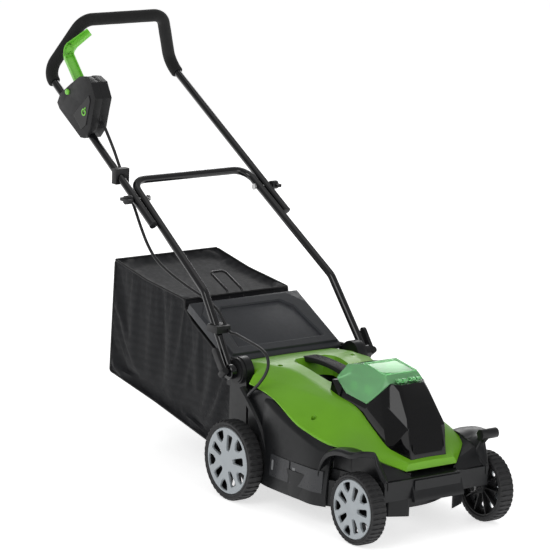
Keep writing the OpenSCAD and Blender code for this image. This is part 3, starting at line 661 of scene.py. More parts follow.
def build_tyre(name, wheel, side, rim, lugs=40):
    """A tyre with bars across its tread that run over both shoulders."""
    r = wheel["d"] / 2
    # Radius, distance from the inner face, and how far the groove between two lugs sinks in
    profile = [
        (rim - 0.5, 2.5, 0.0), (rim + 1.5, 0.6, 0.0), (rim + 5.0, 0.0, 0.0), (r - 6.5, 0.2, 0.0),
        (r - 4.5, 0.0, 0.3), (r - 2.2, 1.2, 1.4), (r - 0.6, 3.4, 2.4), (r, 6.5, 2.8), (r, 13.0, 2.2),
        (r, 17.0, 1.2), (r, 19.0, 1.2), (r, 23.0, 2.2), (r, TYRE_W - 6.5, 2.8),
        (r - 0.6, TYRE_W - 3.4, 2.4), (r - 2.2, TYRE_W - 1.2, 1.4), (r - 4.5, TYRE_W, 0.3),
        (r - 6.5, TYRE_W - 0.2, 0.0), (rim + 5.0, TYRE_W - 1.2, 0.0), (rim + 3.6, TYRE_W, 0.0),
        (rim + 1.0, TYRE_W - 0.4, 0.0), (rim - 0.5, TYRE_W - 2.5, 0.0),
    ]
    shape = Shape()
    steps = (0.0, 0.08, 0.16, 0.62, 0.70, 0.78)
    low = (1.0, 1.0, 0.0, 0.0, 1.0, 1.0)
    rings = []
    for k in range(lugs):
        for s, sunk in zip(steps, low):
            angle = 2 * math.pi * (k + s) / lugs
            ring = []
            for radius, h, sink in profile:
                q = radius - sink * sunk
                # Lugs lean a little towards the middle of the tread
                lean = 0.010 * math.sin(math.pi * h / TYRE_W)
                y = side * (wheel["y"] + h)
                turn = angle + lean
                ring.append((wheel["x"] + q * math.cos(turn), y, wheel["d"] / 2 + q * math.sin(turn)))
            rings.append(ring)
    rings.append(rings[0])
    m = len(profile)
    verts = [p for ring in rings for p in ring]
    faces = []
    for i in range(len(rings) - 1):
        for j in range(m):
            g = (j + 1) % m
            faces.append([i * m + j, i * m + g, (i + 1) * m + g, (i + 1) * m + j])
    shape.add(verts, faces)
    o = shade(shape.build(name), 28)
    return place(o, "wheel_" + name[5:-5], "tyre_rubber", "tyre_rubber", [name[:-5]])


def window(points, rim, angle):
    """An outline in radius and half width, turned to its place on the hubcap."""
    c, s = math.cos(angle), math.sin(angle)
    out = []
    for u, w in points:
        out.append((rim * (u * c - w * s), rim * (u * s + w * c)))
    return out


def grown(points, d):
    """The outline moved outwards from its middle by about d."""
    mid = Vector((sum(p[0] for p in points), sum(p[1] for p in points))) / len(points)
    out = []
    for p in points:
        v = Vector(p) - mid
        out.append(tuple(mid + v * (1 + d / v.length)))
    return out


SLOT_SHAPE = [(0.34, -0.045), (0.40, -0.075), (0.74, -0.125), (0.79, -0.09), (0.79, 0.09), (0.74, 0.125),
              (0.40, 0.075), (0.34, 0.045)]
BAY_SHAPE = [(0.60, -0.03), (0.71, -0.135), (0.88, -0.175), (0.905, -0.12), (0.915, 0.0), (0.905, 0.12),
             (0.88, 0.175), (0.71, 0.135), (0.60, 0.03)]


def build_hubcap(name, wheel, side, rim, spin):
    """A silver cap with five long slots and five bays, each in a chamfered recess."""
    face = TYRE_W
    profile = [(0.0, face - 4.5), (rim - 0.6, face - 4.5), (rim - 0.2, face - 2.2), (rim - 1.6, face - 0.7),
               (rim - 4.5, face - 0.4), (rim * 0.80, face + 0.0), (rim * 0.45, face + 0.5),
               (rim * 0.36, face + 1.1), (rim * 0.20, face + 1.3), (rim * 0.16, face + 0.9),
               (0.0, face + 0.9)]
    shape = Shape()
    centre = (0, 0, 0)
    shape.revolve(profile, centre, "z", 96)
    o = shape.build(name)
    recess, through = Shape(), Shape()
    for i in range(5):
        for outline, turn in ((SLOT_SHAPE, 72 * i), (BAY_SHAPE, 72 * i + 36)):
            flat = window(outline, rim, math.radians(turn))
            big = grown(flat, 2.6)
            steps = ((grown(flat, 1.4), face - 1.3), (big, face + 4.0))
            recess.grid([[(x, y, z) for x, y in pts] for pts, z in steps])
            through.grid([[(x, y, z) for x, y in flat] for z in (face - 9.0, face + 4.0)])
    combine(o, recess.build("recess"))
    combine(o, through.build("through"))
    # From standing on its inner face to its place on the axle
    turn = Matrix.Rotation(math.radians(-90 * side), 4, "X") @ Matrix.Rotation(math.radians(spin), 4, "Z")
    offset = at(wheel["x"], side * wheel["y"], wheel["d"] / 2)
    home = at(0, 0, 0)
    o.data.transform(Matrix.Translation(offset) @ turn @ Matrix.Translation(-home))
    if side == RIGHT:
        clean(o.data)
    soften(o, 0.45, 2, 40)
    return place(o, "wheel_" + name[7:-5], "hubcap_silver", "hubcap_silver", [name[:-5]])


FRONT_RIM, REAR_RIM = 64.0, 74.0
for side, hand in SIDES:
    for end, wheel, rim in (("front", FRONT_WHEEL, FRONT_RIM), ("rear", REAR_WHEEL, REAR_RIM)):
        where = f"{end}_{hand}"
        build_tyre(f"tyre_{where}_look", wheel, side, rim)
        build_hubcap(f"hubcap_{where}_look", wheel, side, rim, 10 if end == "rear" else 4)


# ---- handle ----

PIVOT = (-242.6, 272.0)
FOOT = (-242.6, 186.0, 272.0)
LOWER_BEND = (-364.4, 176.0, 427.0)
LOWER_TOP = (-688.0, 160.0, 618.0)
UPPER_END = (-558.0, 186.0, 542.0)
UPPER_BEND = (-1030.0, 173.5, 819.0)
UPPER_TOP = (-978.0, 112.0, 946.0)
TUBE_R = 9.0


def both_ways(points):
    """The right side's points, then the left side's back again."""
    return [mirrored(p) for p in points] + list(reversed(points))


def build_handles():
    """Both handle loops and the foam sleeve."""
    path = resampled(rounded(both_ways([FOOT, LOWER_BEND, LOWER_TOP]), 38), 40)
    lower = Shape().tube(path, TUBE_R, 28)
    for side, _ in SIDES:
        eye = [(0.0, 177.5), (15.5, 177.5), (17.0, 179.0), (17.0, 193.0), (15.5, 194.5), (0.0, 194.5)]
        lower.revolve(eye, (PIVOT[0], 0, PIVOT[1]), "y", 48, side)
    tube = shade(lower.build("lower_handle_look"))
    place(tube, "lower_handle", "tube_black", "tube_black", ["lower_handle"])

    path = resampled(rounded(both_ways([UPPER_END, UPPER_BEND, UPPER_TOP]), 40), 40)
    upper = Shape().tube(path, TUBE_R, 28)
    tube = shade(upper.build("upper_handle_look"))
    place(tube, "upper_handle", "tube_black", "tube_black", ["upper_handle"])

    start = tuple(lerp(a, b, 0.932) for a, b in zip(UPPER_END, UPPER_BEND))
    path = resampled(rounded(both_ways([start, UPPER_BEND, UPPER_TOP]), 40, 4), 6)

    def foam_r(gone, left):
        edge = min(gone, left)
        swell = 15.0 if edge > 4 else 12.6 + 2.4 * math.sqrt(max(0.0, 1 - (1 - edge / 4) ** 2))
        return swell - 0.12 - 0.12 * math.sin(gone * 0.11) * math.sin(gone * 0.031)

    foam = shade(Shape().tube(path, foam_r, 40).build("foam_grip_look"))
    place(foam, "upper_handle", "foam_black", "foam_black", ["foam_grip"])
    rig.padded(foam, fill=1.0)


build_handles()


# ---- motor cover, cowl and lid ----

COVER_T = 3.0
# x, then half width and height at the lower edge, the shoulder and the top
COVER_RINGS = [
    (-276, 142, 250, 141, 268, 124, 282), (-206, 142, 252, 141, 278, 120, 292),
    (-190, 172, 254, 160, 276, 116, 291), (-152, 174, 252, 146, 274, 96, 289),
    (-92, 174, 240, 126, 264, 84, 277), (-7, 175, 204, 108, 254, 84, 262),
    (71, 163, 184, 104, 234, 82, 250), (115, 153, 181, 102, 212, 80, 226),
    (176, 133, 175, 94, 186, 76, 190), (236, 68, 148, 64, 160, 60, 163),
]


def filleted(points, bends, n=4):
    """A flat run of points with each inner corner cut to n + 1 points on an arc."""
    out = [points[0]]
    for (a, b, c), bend in zip(zip(points, points[1:], points[2:]), bends):
        a, b, c = Vector(a), Vector(b), Vector(c)
        u, w = (a - b).normalized(), (c - b).normalized()
        reach = min(bend, 0.45 * (a - b).length, 0.45 * (c - b).length)
        p, q = b + u * reach, b + w * reach
        for k in range(n + 1):
            t = k / n
            out.append(tuple((1 - t) ** 2 * p + 2 * t * (1 - t) * b + t * t * q))
    return out + [points[-1]]


def cover_stations(inset):
    """Cross sections of the cover, smooth along the machine and softly folded across it."""
    first = [Vector(r) for r in COVER_RINGS[:2]]
    rest = smooth([Vector(r) for r in COVER_RINGS[2:]], 5)
    rings = []
    for r in first + [first[1].lerp(rest[0], 0.5)] + rest:
        x, ye, ze, ys, zs, yt, zt = r
        d = inset
        half = [
            (-ye + d, ze), (-ye + d - 0.6, lerp(ze, zs, 0.12)), (-ys + d, zs - d / 2),
            (-yt + d / 2, zt - d), (0, zt + 2.0 - d),
        ]
        full = half + [(-y, z) for y, z in reversed(half[:-1])]
        bends = (4, 6, 8, 60, 8, 6, 4)
        if d:
            full[0] = (full[0][0], ze - 30)
            full[-1] = (full[-1][0], ze - 30)
        rings.append([(x, y, z) for y, z in filleted(full, bends)])
    return rings


def tapered(low, high, spread):
    """A well that is wider at its top: low and high are its corners at the floor."""
    rings = []
    for z, d in ((low[2], 0.0), (high[2], spread)):
        x0, y0, x1, y1 = low[0] - d, low[1] - d, high[0] + d, high[1] + d
        c = min(16.0, (y1 - y0) / 4)
        corners = [
            (x0 + c, y0), (x1 - c, y0), (x1, y0 + c), (x1, y1 - c),
            (x1 - c, y1), (x0 + c, y1), (x0, y1 - c), (x0, y0 + c),
        ]
        rings.append([(x, y, z) for x, y in corners])
    return Shape().grid(rings)


SCREWS = [(-176, -100, 278), (-176, 100, 278), (12, -146, 204), (12, 146, 204)]
COWL_MID = (90, 0, 245)
COWL_POINTS = [
    (-34, 70, 262), (-32, 68, 288), (-26, 75, 242), (10, 75.5, 256), (92, 75.5, 246), (180, 76, 176),
    (226, 47, 165), (214, 50, 232), (189, 37, 279), (160, 31, 314), (144, 45, 314), (139, 66, 279),
    (110, 56, 315), (184, 50, 244), (20, 68, 288),
]
LID_MID = (60, 0, 300)
LID_POINTS = [
    (46, 45, 338), (123, 44.5, 328), (141, 46, 313), (-1, 53, 327), (-20, 66, 295.5), (21.5, 72, 271),
    (100, 74, 264), (128, 64, 292),
]
LID_HINGE = (147, 319)


def hull(name, points, middle, grow=0.0, drop=0.0):
    """The tightest form round the points and their mirror images."""
    mid = Vector(middle)
    bm = bmesh.new()
    for p in points:
        for s in (-1, 1):
            v = Vector((p[0], p[1] * s, p[2]))
            v += (v - mid).normalized() * grow
            for z in {0.0, drop}:
                bm.verts.new(at(v.x, v.y, v.z - z))
    out = bmesh.ops.convex_hull(bm, input=bm.verts)
    spare = [g for g in out["geom_interior"] if isinstance(g, bmesh.types.BMVert)]
    bmesh.ops.delete(bm, geom=spare, context="VERTS")
    bmesh.ops.dissolve_limit(bm, angle_limit=math.radians(2), verts=bm.verts, edges=bm.edges)
    mesh = bpy.data.meshes.new(name)
    bm.to_mesh(mesh)
    bm.free()
    o = bpy.data.objects.new(name, mesh)
    bpy.context.scene.collection.objects.link(o)
    return o


def hinge_bar(r, half):
    """A bar on the lid's hinge line."""
    where = (LID_HINGE[0], 0, LID_HINGE[1])
    return Shape().revolve([(0.0, -half), (r, -half), (r, half), (0.0, half)], where)


def disc(p, r, z0, z1, n=32):
    """An upright cylinder over a point."""
    ring = [(r * math.cos(2 * math.pi * k / n), r * math.sin(2 * math.pi * k / n)) for k in range(n)]
    return Shape().grid([[(p[0] + x, p[1] + y, z) for x, y in ring] for z in (z0, z1)])


def build_cover():
    """The green cover with its finger well, screw wells and opening for the cowl."""
    cover = Shape().grid(cover_stations(0.0)).build("motor_cover_look")
    inside = Shape().grid(cover_stations(COVER_T)).build("inside")
    well = ((-178, -34, 244), (-62, 34, 300), 26.0)
    cup = ((-182, -38, 240), (-58, 38, 300), 26.0)
    combine(inside, tapered(*cup).build("cup"))
    for p in SCREWS:
        combine(inside, disc(p, 9, p[2] - 2, 330).build("cup"))
    ends = Shape().box((-300, -200, 100), (-273, 200, 300)).box((233, -200, 100), (260, 200, 300))
    combine(inside, ends.build("ends"))
    combine(cover, inside)
    combine(cover, tapered(*well).build("well"))
    for p in SCREWS:
        combine(cover, disc(p, 6, p[2] + 3, 330).build("recess"))
    combine(cover, hull("opening", COWL_POINTS, COWL_MID, 1.0))
    combine(cover, Shape().box((-300, -112.5, 200), (-268, 112.5, 271)).build("room"))
    shade(soften(cover, 0.9, 2, 38), 30)
    return place(cover, "deck", "cover_green", "cover_green", ["motor_cover"])


def build_cowl():
    """The glossy cowl with its sunk panel and slits, open under the lid."""
    cowl = bake(soften(hull("front_cowl_look", COWL_POINTS, COWL_MID), 1.6, 3, 9))
    combine(cowl, hull("inner", COWL_POINTS, COWL_MID, -4.5, 90))
    # Smooth display panel sunk in the front
    face = [(-35, 178), (35, 178), (33, 230), (26, 270), (-26, 270), (-33, 230)]
    front_x = {178: 223.7, 230: 214.4, 270: 194.0}
    ring = [[(front_x[z] + d, y * w, z) for y, z in face] for d, w in ((-1.8, 1.0), (8.0, 1.15))]
    combine(cowl, Shape().grid(ring).build("panel"))
    slits = Shape()
    for s in (-1, 1):
        slits.box((217, s * 42 - 1.2, 186), (232, s * 42 + 1.2, 199))
    combine(cowl, slits.build("slits"))
    # Room for the lid as it starts to swing, and for the key
    pivot = at(LID_HINGE[0], 0, LID_HINGE[1])
    for angle in (0, 6, 12, 18, 25):
        room = hull("room", LID_POINTS, LID_MID, 1.0)
        swing = Matrix.Rotation(math.radians(angle), 4, "Y")
        room.data.transform(Matrix.Translation(pivot) @ swing @ Matrix.Translation(-pivot))
        combine(cowl, room)
    combine(cowl, Shape().box((-22, -8, 258), (-10, 8, 302)).build("key_slot"))
    combine(cowl, hinge_bar(5.6, 33).build("barrel"))
    shade(cowl, 24)
    place(cowl, "deck", "cowl_black", "cowl_black", ["front_cowl"])


def build_lid():
    """The translucent lid with its hinge barrels and a raised rim."""
    lid = bake(soften(hull("battery_lid_look", LID_POINTS, LID_MID), 3.0, 4, 9))
    combine(lid, hull("inner", LID_POINTS, LID_MID, -2.6, 90))
    combine(lid, hinge_bar(5.0, 31).build("gap"))
    shade(lid, 25)
    place(lid, "lid", "lid_green", "lid_green", ["battery_lid"])
    trim = Shape()
    c = (LID_HINGE[0], 0, LID_HINGE[1])
    for y0, y1 in ((-30, -20), (-17, -4), (4, 17), (20, 30)):
        trim.revolve([(2.2, y0), (4.5, y0), (4.5, y1), (2.2, y1)], c, "y", 32)
        trim.box((137, y0 + 1, 317.5), (143.2, y1 - 1, 322))
    # Raised rim round the flat top
    rim = [(48, -43, 339), (121, -42.5, 329.5), (121, 42.5, 329.5), (48, 43, 339), (48, -43, 339)]
    trim.tube(resampled([Vector(p) for p in rim], 20), 1.1, 10)
    place(shade(trim.build("lid_hinge_barrels"), 35), "lid", "lid_green", "lid_green")


def build_packs():
    """The packs' side discs, latches and ribs."""
    for side, hand in SIDES:
        mid = side * 28.5
        marks, trim = Shape(), Shape()
        for x, z, r in ((34, 297, 12), (80, 300, 12)):
            y = mid + side * 25.0
            disc_side = [(0.0, 0.0), (r, 0.0), (r, 0.8), (r - 1, 1.2), (0.0, 1.2)]
            marks.revolve(disc_side, (x, y, z - 12), "y", 32, side)
        marks.prism([(90, 316), (90, 319.5), (94, 320.5), (104, 319.5), (106, 316)], mid - 10, mid + 10)
        for k in range(6):
            trim.box((14 + k * 11, mid - 14, 313.5), (20 + k * 11, mid + 14, 315.2))
        body = "pack_" + hand
        place(shade(marks.build(f"pack_latch_{hand}"), 30), body, "bail_green", "cell_green")
        place(soften(trim.build(f"pack_ribs_{hand}"), 0.6, 2), body, "battery_grey", "battery_grey")


def build_carry_handle():
    """The rubber-topped grip: a crowned bar with fine ribs across it."""
    crown = [(-218, 287.5), (-200, 297), (-150, 300.5), (-90, 297), (-42, 289), (-36, 284)]
    belly = [(-217, 279), (-198, 283), (-150, 288), (-98, 286), (-52, 277), (-37, 273)]
    top, low = (smooth([(x, 0, z) for x, z in run], 10) for run in (crown, belly))
    rings = []
    for k, (t, b) in enumerate(zip(top, low)):
        w = 17 - 3.5 * max(0, 1 - k / 5)
        h = t.z - b.z
        shape = [
            (-w, 0.15), (-w, 0.6), (-w + 1.5, 0.85), (-w + 5, 1.0), (w - 5, 1.0), (w - 1.5, 0.85),
            (w, 0.6), (w, 0.15), (w - 3, 0.0), (-w + 3, 0.0),
        ]
        rings.append([(lerp(b.x, t.x, f), y, b.z + h * f) for y, f in shape])
    grip = shade(Shape().grid(rings).build("carry_handle_look"), 32)
    place(grip, "deck", "grip_black", "grip_black", ["carry_handle"])
    ribs = Shape()
    path = top[12:42]
    for a, b in zip(path, path[1:]):
        m, d = (a + b) / 2, (b - a).normalized()
        for y0, y1 in ((-11.5, -4.5), (-3.5, 3.5), (4.5, 11.5)):
            rib = ((-1.3, -1.0), (-0.8, 0.75), (0.8, 0.75), (1.3, -1.0))
            ribs.grid([[(m.x + d.x * u, y, m.z + d.z * u + h) for u, h in rib] for y in (y0, y1)])
    place(soften(ribs.build("carry_handle_ribs"), 0.25, 1), "deck", "grip_black", "grip_black")


build_cover()
build_cowl()
build_lid()
build_packs()
build_carry_handle()


# ---- deck: bulging side skins, fenders, front bumper and plates ----

# x, then half width and height at the top, the shoulder, the middle and the foot
SKIN_RINGS = [
    (-130, 169, 239, 174, 230, 180, 150, 186, 52), (-96, 173, 236, 180, 224, 184, 140, 190, 50),
    (-40, 174, 217, 182, 205, 186, 130, 191, 50), (20, 171, 198, 180, 187, 184, 120, 189, 50),
    (66, 163, 184, 172, 173, 181, 110, 188, 50), (97, 156, 179, 160, 169, 170, 110, 174, 50),
]
# x, then half width and height of the outer and of the inner edge
FENDER_RINGS = [
    (92, 192, 130, 150, 148), (94, 192, 140, 148, 157), (101, 192, 158, 146, 168),
    (116, 192, 176, 143, 180), (138, 192, 188, 140, 186), (165, 192, 193.5, 136, 186),
    (190, 192, 194.5, 134, 181), (205, 188, 197, 132, 180), (217, 176, 200, 131, 178),
    (226, 157, 199, 130, 172), (229, 150.5, 194, 130, 168), (236, 150, 174, 129, 158),
    (249, 146, 150, 130, 145), (257, 142, 139, 133, 138),
]
# x, then half width and height at the fender and at the cover
SLOPES = [
    (160, 137, 187, 134, 174), (190, 135, 182, 116, 166), (205, 133, 180, 101, 160),
    (222, 131, 175, 83, 152), (236, 130, 158, 64, 144), (250, 131, 141, 60, 135),
]
STRAKE = [(-212, 240), (-165, 200), (-130, 160), (-105, 110), (-92, 56)]


def skin_y(x, z):
    """Half width of the side skin at the place."""
    for a, b in zip(SKIN_RINGS, SKIN_RINGS[1:]):
        if a[0] <= x <= b[0]:
            r = [lerp(p, q, (x - a[0]) / (b[0] - a[0])) for p, q in zip(a, b)]
            return lerp(r[7], r[5], min(1.0, (z - r[8]) / (r[6] - r[8])))
    return 180.0


def build_deck():
    """The deck without its plain arches, with skins, fenders, strakes, bumper and plates added."""
    deck = copy_of("deck")
    arches = Shape()
    for s in (-1, 1):
        y0, y1 = sorted((s * 141, s * 205))
        arches.box((88, y0, 132), (262, y1, 222))
    combine(deck, arches.build("arches"))
    shade(soften(deck, 1.0, 2, 35), 30)
    place(deck, "deck", "deck_plastic", "deck_plastic", ["deck"])
    skins = Shape()
    for s in (-1, 1):
        rings = []
        for r in smooth([Vector(r) for r in SKIN_RINGS], 5):
            x, wall = r[0], [(r[1], r[2]), (r[3], r[4]), (r[5], r[6]), (r[7], r[8])]
            face = filleted(wall, (10, 50), 5)
            back = [(y - 3.2, z - 1.0) for y, z in reversed(face)]
            rings.append([(x, s * y, z) for y, z in face + back])
        skins.grid(rings)
        rings = []
        for x, yo, zo, yi, zi in smooth([Vector(r) for r in FENDER_RINGS], 4):
            top = [(yo - 0.4, zo - 9), (yo + 0.4, zo - 2), (yo - 5, zo + 2.4),
                   (lerp(yo, yi, 0.5), lerp(zo, zi, 0.5) + 5), (yi, zi + 1)]
            face = filleted(top, (4, 8, 20), 4)
            back = [(y - 2.4 * (z < zo - 1), z - 3.0) for y, z in reversed(face)]
            rings.append([(x, s * y, z) for y, z in face + back])
        skins.grid(rings)
        # Wall down from each fender's inner edge, and the slope from there to the cover
        walls = [[(x, yi + 1.2, zi + 0.6), (x, yi + 1.2, 120), (x, yi - 1.2, 120), (x, yi - 1.2, zi + 0.6)]
                 for x, _, _, yi, zi in FENDER_RINGS]
        slope = [[(x, yi + 1, zi), (x, yc, zc), (x, yc, zc - 3), (x, yi + 1, zi - 3)]
                 for x, yi, zi, yc, zc in SLOPES]
        for sheet in (walls, slope):
            skins.grid([[(x, s * y, z) for x, y, z in ring] for ring in sheet])
        strake = smooth([Vector((x, s * 178.0, z)) for x, z in STRAKE], 6)
        skins.section(strake, [(-8, -8), (8, -8), (8, 1), (4.5, 6.5), (-4.5, 6.5), (-8, 1)], (0, s, 0))
    bumper = [(246, 134.5), (252, 134.5), (266, 99), (268, 94), (268, 88), (258, 88)]
    skins.prism(bumper, -67, 67)
    place(shade(skins.build("deck_skins"), 30), "deck", "deck_plastic", "deck_plastic")
    for name, spans, z0, z1, out, slot in (
        ("deck_plate", ((-9, 89), (-82, -15)), 78, 126, 2.0, "label_dark"),
        ("deck_plate_band", ((-3, 6), (-76, -70)), 92, 114, 2.4, "label_pale"),
    ):
        plate = Shape()
        for x0, x1 in spans:
            rings = []
            for k in range(9):
                x = lerp(x0, x1, k / 8)
                a, b = skin_y(x, z0), skin_y(x, z1)
                ring = [(x, -(a + out), z0), (x, -(b + out), z1), (x, -(b - 1.5), z1), (x, -(a - 1.5), z0)]
                rings.append(ring)
            plate.grid(rings)
        place(shade(plate.build(name), 30), "deck", "deck_plastic", slot)


# ---- switch box, bail and cables ----

SLOPE = math.radians(30.4)
CABLE_R = 3.5
CABLE_A = [
    (-806, -168, 735), (-792, -168, 726), (-772, -168, 704), (-750, -168, 678), (-728, -168, 648),
    (-699, -168, 611),
]
CABLE_B = [
    (-697.5, -168.6, 609), (-678, -172, 592), (-646, -177, 562), (-612, -182, 526), (-580, -184, 492),
    (-545, -183, 464), (-490, -181, 442), (-436, -174, 424), (-388, -164, 408), (-340, -161, 392),
    (-312, -162, 374), (-288, -164.4, 354),
]
CABLE_C = [
    (-284.5, -164.8, 352.6), (-272, -165, 350), (-250, -168, 352), (-210, -173, 350), (-156, -178, 346),
    (-120, -182, 338), (-106, -185, 320), (-112, -187, 296), (-138, -187, 266), (-172, -184, 238),
    (-192, -173, 224),
]
BOX_OUT_Y = -197.0
PANEL_SHAPE = ((-6, 12), (40, 4), (50, 26), (34, 84), (22, 92))
BAIL_PIVOT = (-866, 0, 775)


def on_tube(u, w):
    """x and z of a place in the switch box's own side view."""
    c, s = math.cos(SLOPE), math.sin(SLOPE)
    return (-880 + u * c + w * s, 731 - u * s + w * c)


def build_switch():
    """The two halves of the box, the raised panel on its outside and a plain mark."""
    for node in ("switch_box_outer", "switch_box_inner"):
        refined(node, 2.2, 30, 3)
    outline = [on_tube(u, w) for u, w in PANEL_SHAPE]
    panel = Shape().prism(outline, BOX_OUT_Y - 2.2, BOX_OUT_Y + 3.0)
    panel = soften(panel.build("switch_panel"), 1.6, 3)
    place(panel, "upper_handle", "cowl_black", "cowl_black")
    icon = Shape()
    x, z = on_tube(28, 46)
    low, high = BOX_OUT_Y - 3.4, BOX_OUT_Y - 1.5
    icon.revolve([(5.5, low), (8.5, low), (8.5, high), (5.5, high)], (x, 0, z), "y", 40)
    icon.prism([on_tube(u, w) for u, w in ((26.6, 48), (29.4, 48), (29.4, 60), (26.6, 60))], low, high)
    place(shade(icon.build("switch_icon"), 30), "upper_handle", "bail_green", "bail_green")


def build_bail():
    """A curved channel whose open side faces the hand, on its boss."""
    bends = [(-872, -174, 786), (-876, -174, 802), (-966, -165, 880), (-939, -119, 924)]
    path = smooth(rounded(bends, 26, 8), 2)

    def channel(t):
        w = 9.0 + 3.5 * min(1.0, 4 * t) - 4.0 * max(0.0, (t - 0.8) / 0.2)
        back = [(-w, -4.5), (w, -4.5), (w, 5)]
        return back + [(w - 2.4, 5), (w - 2.4, -1.5), (-w + 2.4, -1.5), (-w + 2.4, 5), (-w, 5)]

    bail = Shape().section(resampled(path, 6), channel, (0.45, -0.2, 0.85))
    boss = [(3.2, -183), (8.0, -183), (9.0, -182), (9.0, -166), (8.0, -165), (3.2, -165)]
    bail.revolve(boss, BAIL_PIVOT, "y", 48)
    bail = soften(bail.build("bail_lever_look"), 0.8, 2, 35)
    place(bail, "bail", "bail_green", "bail_green", ["bail_lever"])


def build_cables():
    """The three stretches of cable; the middle and lower ones bend as the handle folds."""
    for name, points, bodies in (
        ("cable_upper", CABLE_A, ("upper_handle",)),
        ("cable_middle", CABLE_B, ("upper_handle", "lower_handle")),
        ("cable_lower", CABLE_C, ("lower_handle", "deck")),
    ):
        o = shade(Shape().tube(smooth(points, 7), CABLE_R, 20).build(name + "_look"), 40)
        place(o, bodies[0] if len(bodies) == 1 else None, "cable_black", "cable_black", [name])
        if name == "cable_middle":
            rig.blend(o, *bodies, start=tuple(at(*points[1])), end=tuple(at(*points[5])))
        if name == "cable_lower":
            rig.blend(o, *bodies, start=tuple(at(*points[1])), end=tuple(at(*points[4])))


# ---- rear flap and grass bag ----

FLAP_HINGE = (-286, 282)
FLAP_SLOPE = math.radians(27)
BAG_TOP = [(-301, 258), (-455, 336), (-484, 360), (-486, 380), (-640, 394), (-770, 416)]
BAG_LOW = [(-301, 74), (-372, 76), (-595, 119), (-782, 149)]
BAG_Y = 143.0
SEAM_STEPS = 400


def on_flap(u, y, w):
    """A place given along, across and above the flap."""
    c, s = math.cos(FLAP_SLOPE), math.sin(FLAP_SLOPE)
    return (FLAP_HINGE[0] + u * c + w * s, y, FLAP_HINGE[1] - u * s + w * c)


def build_flap():
    """The rear flap and the raised frame on it."""
    refined("rear_flap", 1.6, 30, 2)
    outer = [(-9, -147), (-9, 147), (-150, 147), (-190, 116), (-190, -116), (-150, -147)]
    inner = [(-34, -116), (-34, 116), (-140, 102), (-166, 78), (-166, -78), (-140, -102)]
    loops = [(outer, 5.5), (grown(outer, -4), 10.5), (grown(inner, 5), 10.5), (inner, 6.4), (outer, 5.5)]
    rings = [[on_flap(u, y, w) for u, y in points] for points, w in loops]
    frame_piece = Shape().grid(rings, caps=False).build("rear_flap_frame")
    place(soften(frame_piece, 1.0, 3, 20), "flap", "flap_grey", "flap_grey")


def spaced(points, n):
    """n + 1 evenly spaced places along a flat run of points."""
    pts = [Vector(p) for p in points]
    spans = [(b - a).length for a, b in zip(pts, pts[1:])]
    out, left, i = [], 0.0, 0
    for k in range(n + 1):
        want = sum(spans) * k / n
        while i < len(spans) - 1 and want > left + spans[i]:
            left += spans[i]
            i += 1
        out.append(pts[i].lerp(pts[i + 1], min(1.0, (want - left) / spans[i])))
    return out


def bag_shape(columns=52, rows=28, across=28):
    """Sides, top, floor and back of the bag as even quads; the mouth is open."""
    top, low = spaced(BAG_TOP, columns), spaced(BAG_LOW, columns)
    bag = Shape()

    def panel(lines):
        bag.grid(lines, wrap=False, caps=False)

    for s in (-1, 1):
        panel([[(b.lerp(t, j / rows).x, s * BAG_Y, b.lerp(t, j / rows).y) for j in range(rows + 1)]
               for b, t in zip(low, top)])
    for line in (top, low):
        panel([[(p.x, lerp(-BAG_Y, BAG_Y, k / across), p.y) for k in range(across + 1)] for p in line])
    b, t = low[-1], top[-1]
    panel([[(b.lerp(t, j / rows).x, lerp(-BAG_Y, BAG_Y, k / across), b.lerp(t, j / rows).y)
            for k in range(across + 1)] for j in range(rows + 1)])
    return bag


def bag_seams():
    """Runs along the bag's seams."""
    runs = []
    for s in (-1, 1):
        side = [(x, s * BAG_Y, z) for x, z in BAG_TOP + list(reversed(BAG_LOW))]
        runs.append(rounded(side, 7))
    for x, z in (BAG_TOP[2], BAG_TOP[3], BAG_TOP[-1], BAG_LOW[-1]):
        runs.append([Vector((x, -BAG_Y, z)), Vector((x, BAG_Y, z))])
    return runs


def sag(o, pinned, frames=18, most=0.010):
    """Lets the cloth hang from its pinned places and keeps the shape that it takes."""
    scene = bpy.context.scene
    group = o.vertex_groups.new(name="pins")
    group.add(pinned, 1.0, "REPLACE")
    m = o.modifiers.new("cloth", "CLOTH")
    c = m.settings
    c.quality = 6
    c.mass = 0.20
    c.air_damping = 3.0
    c.tension_stiffness = c.compression_stiffness = 18.0
    c.shear_stiffness = 6.0
    c.bending_stiffness = 0.6
    c.shrink_min = -0.035
    c.vertex_group_mass = "pins"
    m.collision_settings.use_collision = False
    m.collision_settings.use_self_collision = False
    m.point_cache.frame_start = 1
    m.point_cache.frame_end = frames
    for f in range(1, frames + 1):
        scene.frame_set(f)
    deps = bpy.context.evaluated_depsgraph_get()
    moved = [v.co.copy() for v in o.evaluated_get(deps).data.vertices]
    for v, p in zip(o.data.vertices, moved):
        step = p - v.co
        v.co += step * min(1.0, most / max(step.length, 1e-9))
    o.modifiers.clear()
    o.vertex_groups.clear()
    scene.frame_set(1)


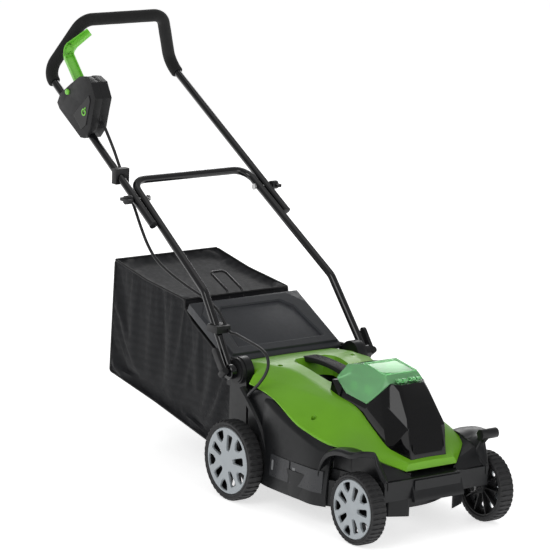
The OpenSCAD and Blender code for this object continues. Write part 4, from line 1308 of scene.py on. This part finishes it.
def build_bag():
    """The sagging bag, its piping and its wire frame."""
    bag = bag_shape().build("grass_bag_look")
    corners = BAG_TOP[2:4]
    top_line, low_line = spaced(BAG_TOP, SEAM_STEPS), spaced(BAG_LOW, SEAM_STEPS)
    (x0, z0), (x1, z1) = BAG_LOW[-1], BAG_TOP[-1]
    pinned = []
    for v in bag.data.vertices:
        x, y, z = v.co.x / MM - BLADE_X, v.co.y / MM, v.co.z / MM
        edge = abs(abs(y) - BAG_Y) < 0.5
        on_top = min((Vector((x, z)) - p).length for p in top_line) < 1.5
        on_low = min((Vector((x, z)) - p).length for p in low_line) < 1.5
        fold = any((Vector((x, z)) - Vector(p)).length < 6 for p in corners)
        behind = abs(x - lerp(x0, x1, (z - z0) / (z1 - z0))) < 1.0
        rear_end = behind and (on_top or on_low)
        if edge and (on_top or on_low or behind) or x > BAG_TOP[0][0] - 1 or rear_end or fold:
            pinned.append(v.index)
    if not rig.quick():
        sag(bag, pinned)
    solid = bag.modifiers.new("cloth_thickness", "SOLIDIFY")
    solid.thickness = 1.6 * MM
    bake(bag)
    shade(bag, 60)
    place(bag, "bag", "bag_fabric", "bag_fabric", ["grass_bag"])
    bag.data.materials.append(MATERIALS["bag_mesh"])
    for p in bag.data.polygons:
        p.material_index = 1 if abs(p.normal.y) > 0.75 else 0
    piping = Shape()
    for run in bag_seams():
        piping.tube(resampled(run, 8), 2.6, 12)
    place(shade(piping.build("bag_piping"), 45), "bag", "bag_fabric", "bag_piping")
    rods = shade(copy_of("bag_frame"), 50)
    place(rods, "bag", SLOT_OF["bag_frame"], SLOT_OF["bag_frame"], ["bag_frame"])


build_deck()
build_switch()
build_bail()
build_cables()
build_flap()
build_bag()


# ---- every other CAD node: its own material, with rounded edges where it shows ----

for node, width in (
    ("battery_pack_right", 2.5), ("battery_pack_left", 2.5), ("battery_tray", 1.5), ("height_lever", 1.0),
    ("cam_lever_right", 2.5), ("cam_lever_left", 2.5), ("wing_knob_right", 1.6), ("wing_knob_left", 1.6),
    ("lever_grip", 2.0), ("axle_brackets", 1.0), ("height_sector", 0.6), ("safety_key", 1.0),
    ("cable_clip_upper", 2.5), ("cable_clip_lower", 2.5), ("handle_end_caps", 1.0), ("lock_button", 1.6),
    ("front_axle", 0.8), ("rear_axle", 0.8), ("tie_rod", 0.8), ("cutting_blade", 0.6),
):
    refined(node, width)

for node, o in NODES.items():
    o.data.materials.clear()
    o.data.materials.append(MATERIALS[SLOT_OF[node]])

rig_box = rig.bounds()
with open("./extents.json", "w") as f:
    json.dump({"cad": [list(map(float, p)) for p in cad_box], "visual": [list(map(float, p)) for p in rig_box]}, f)
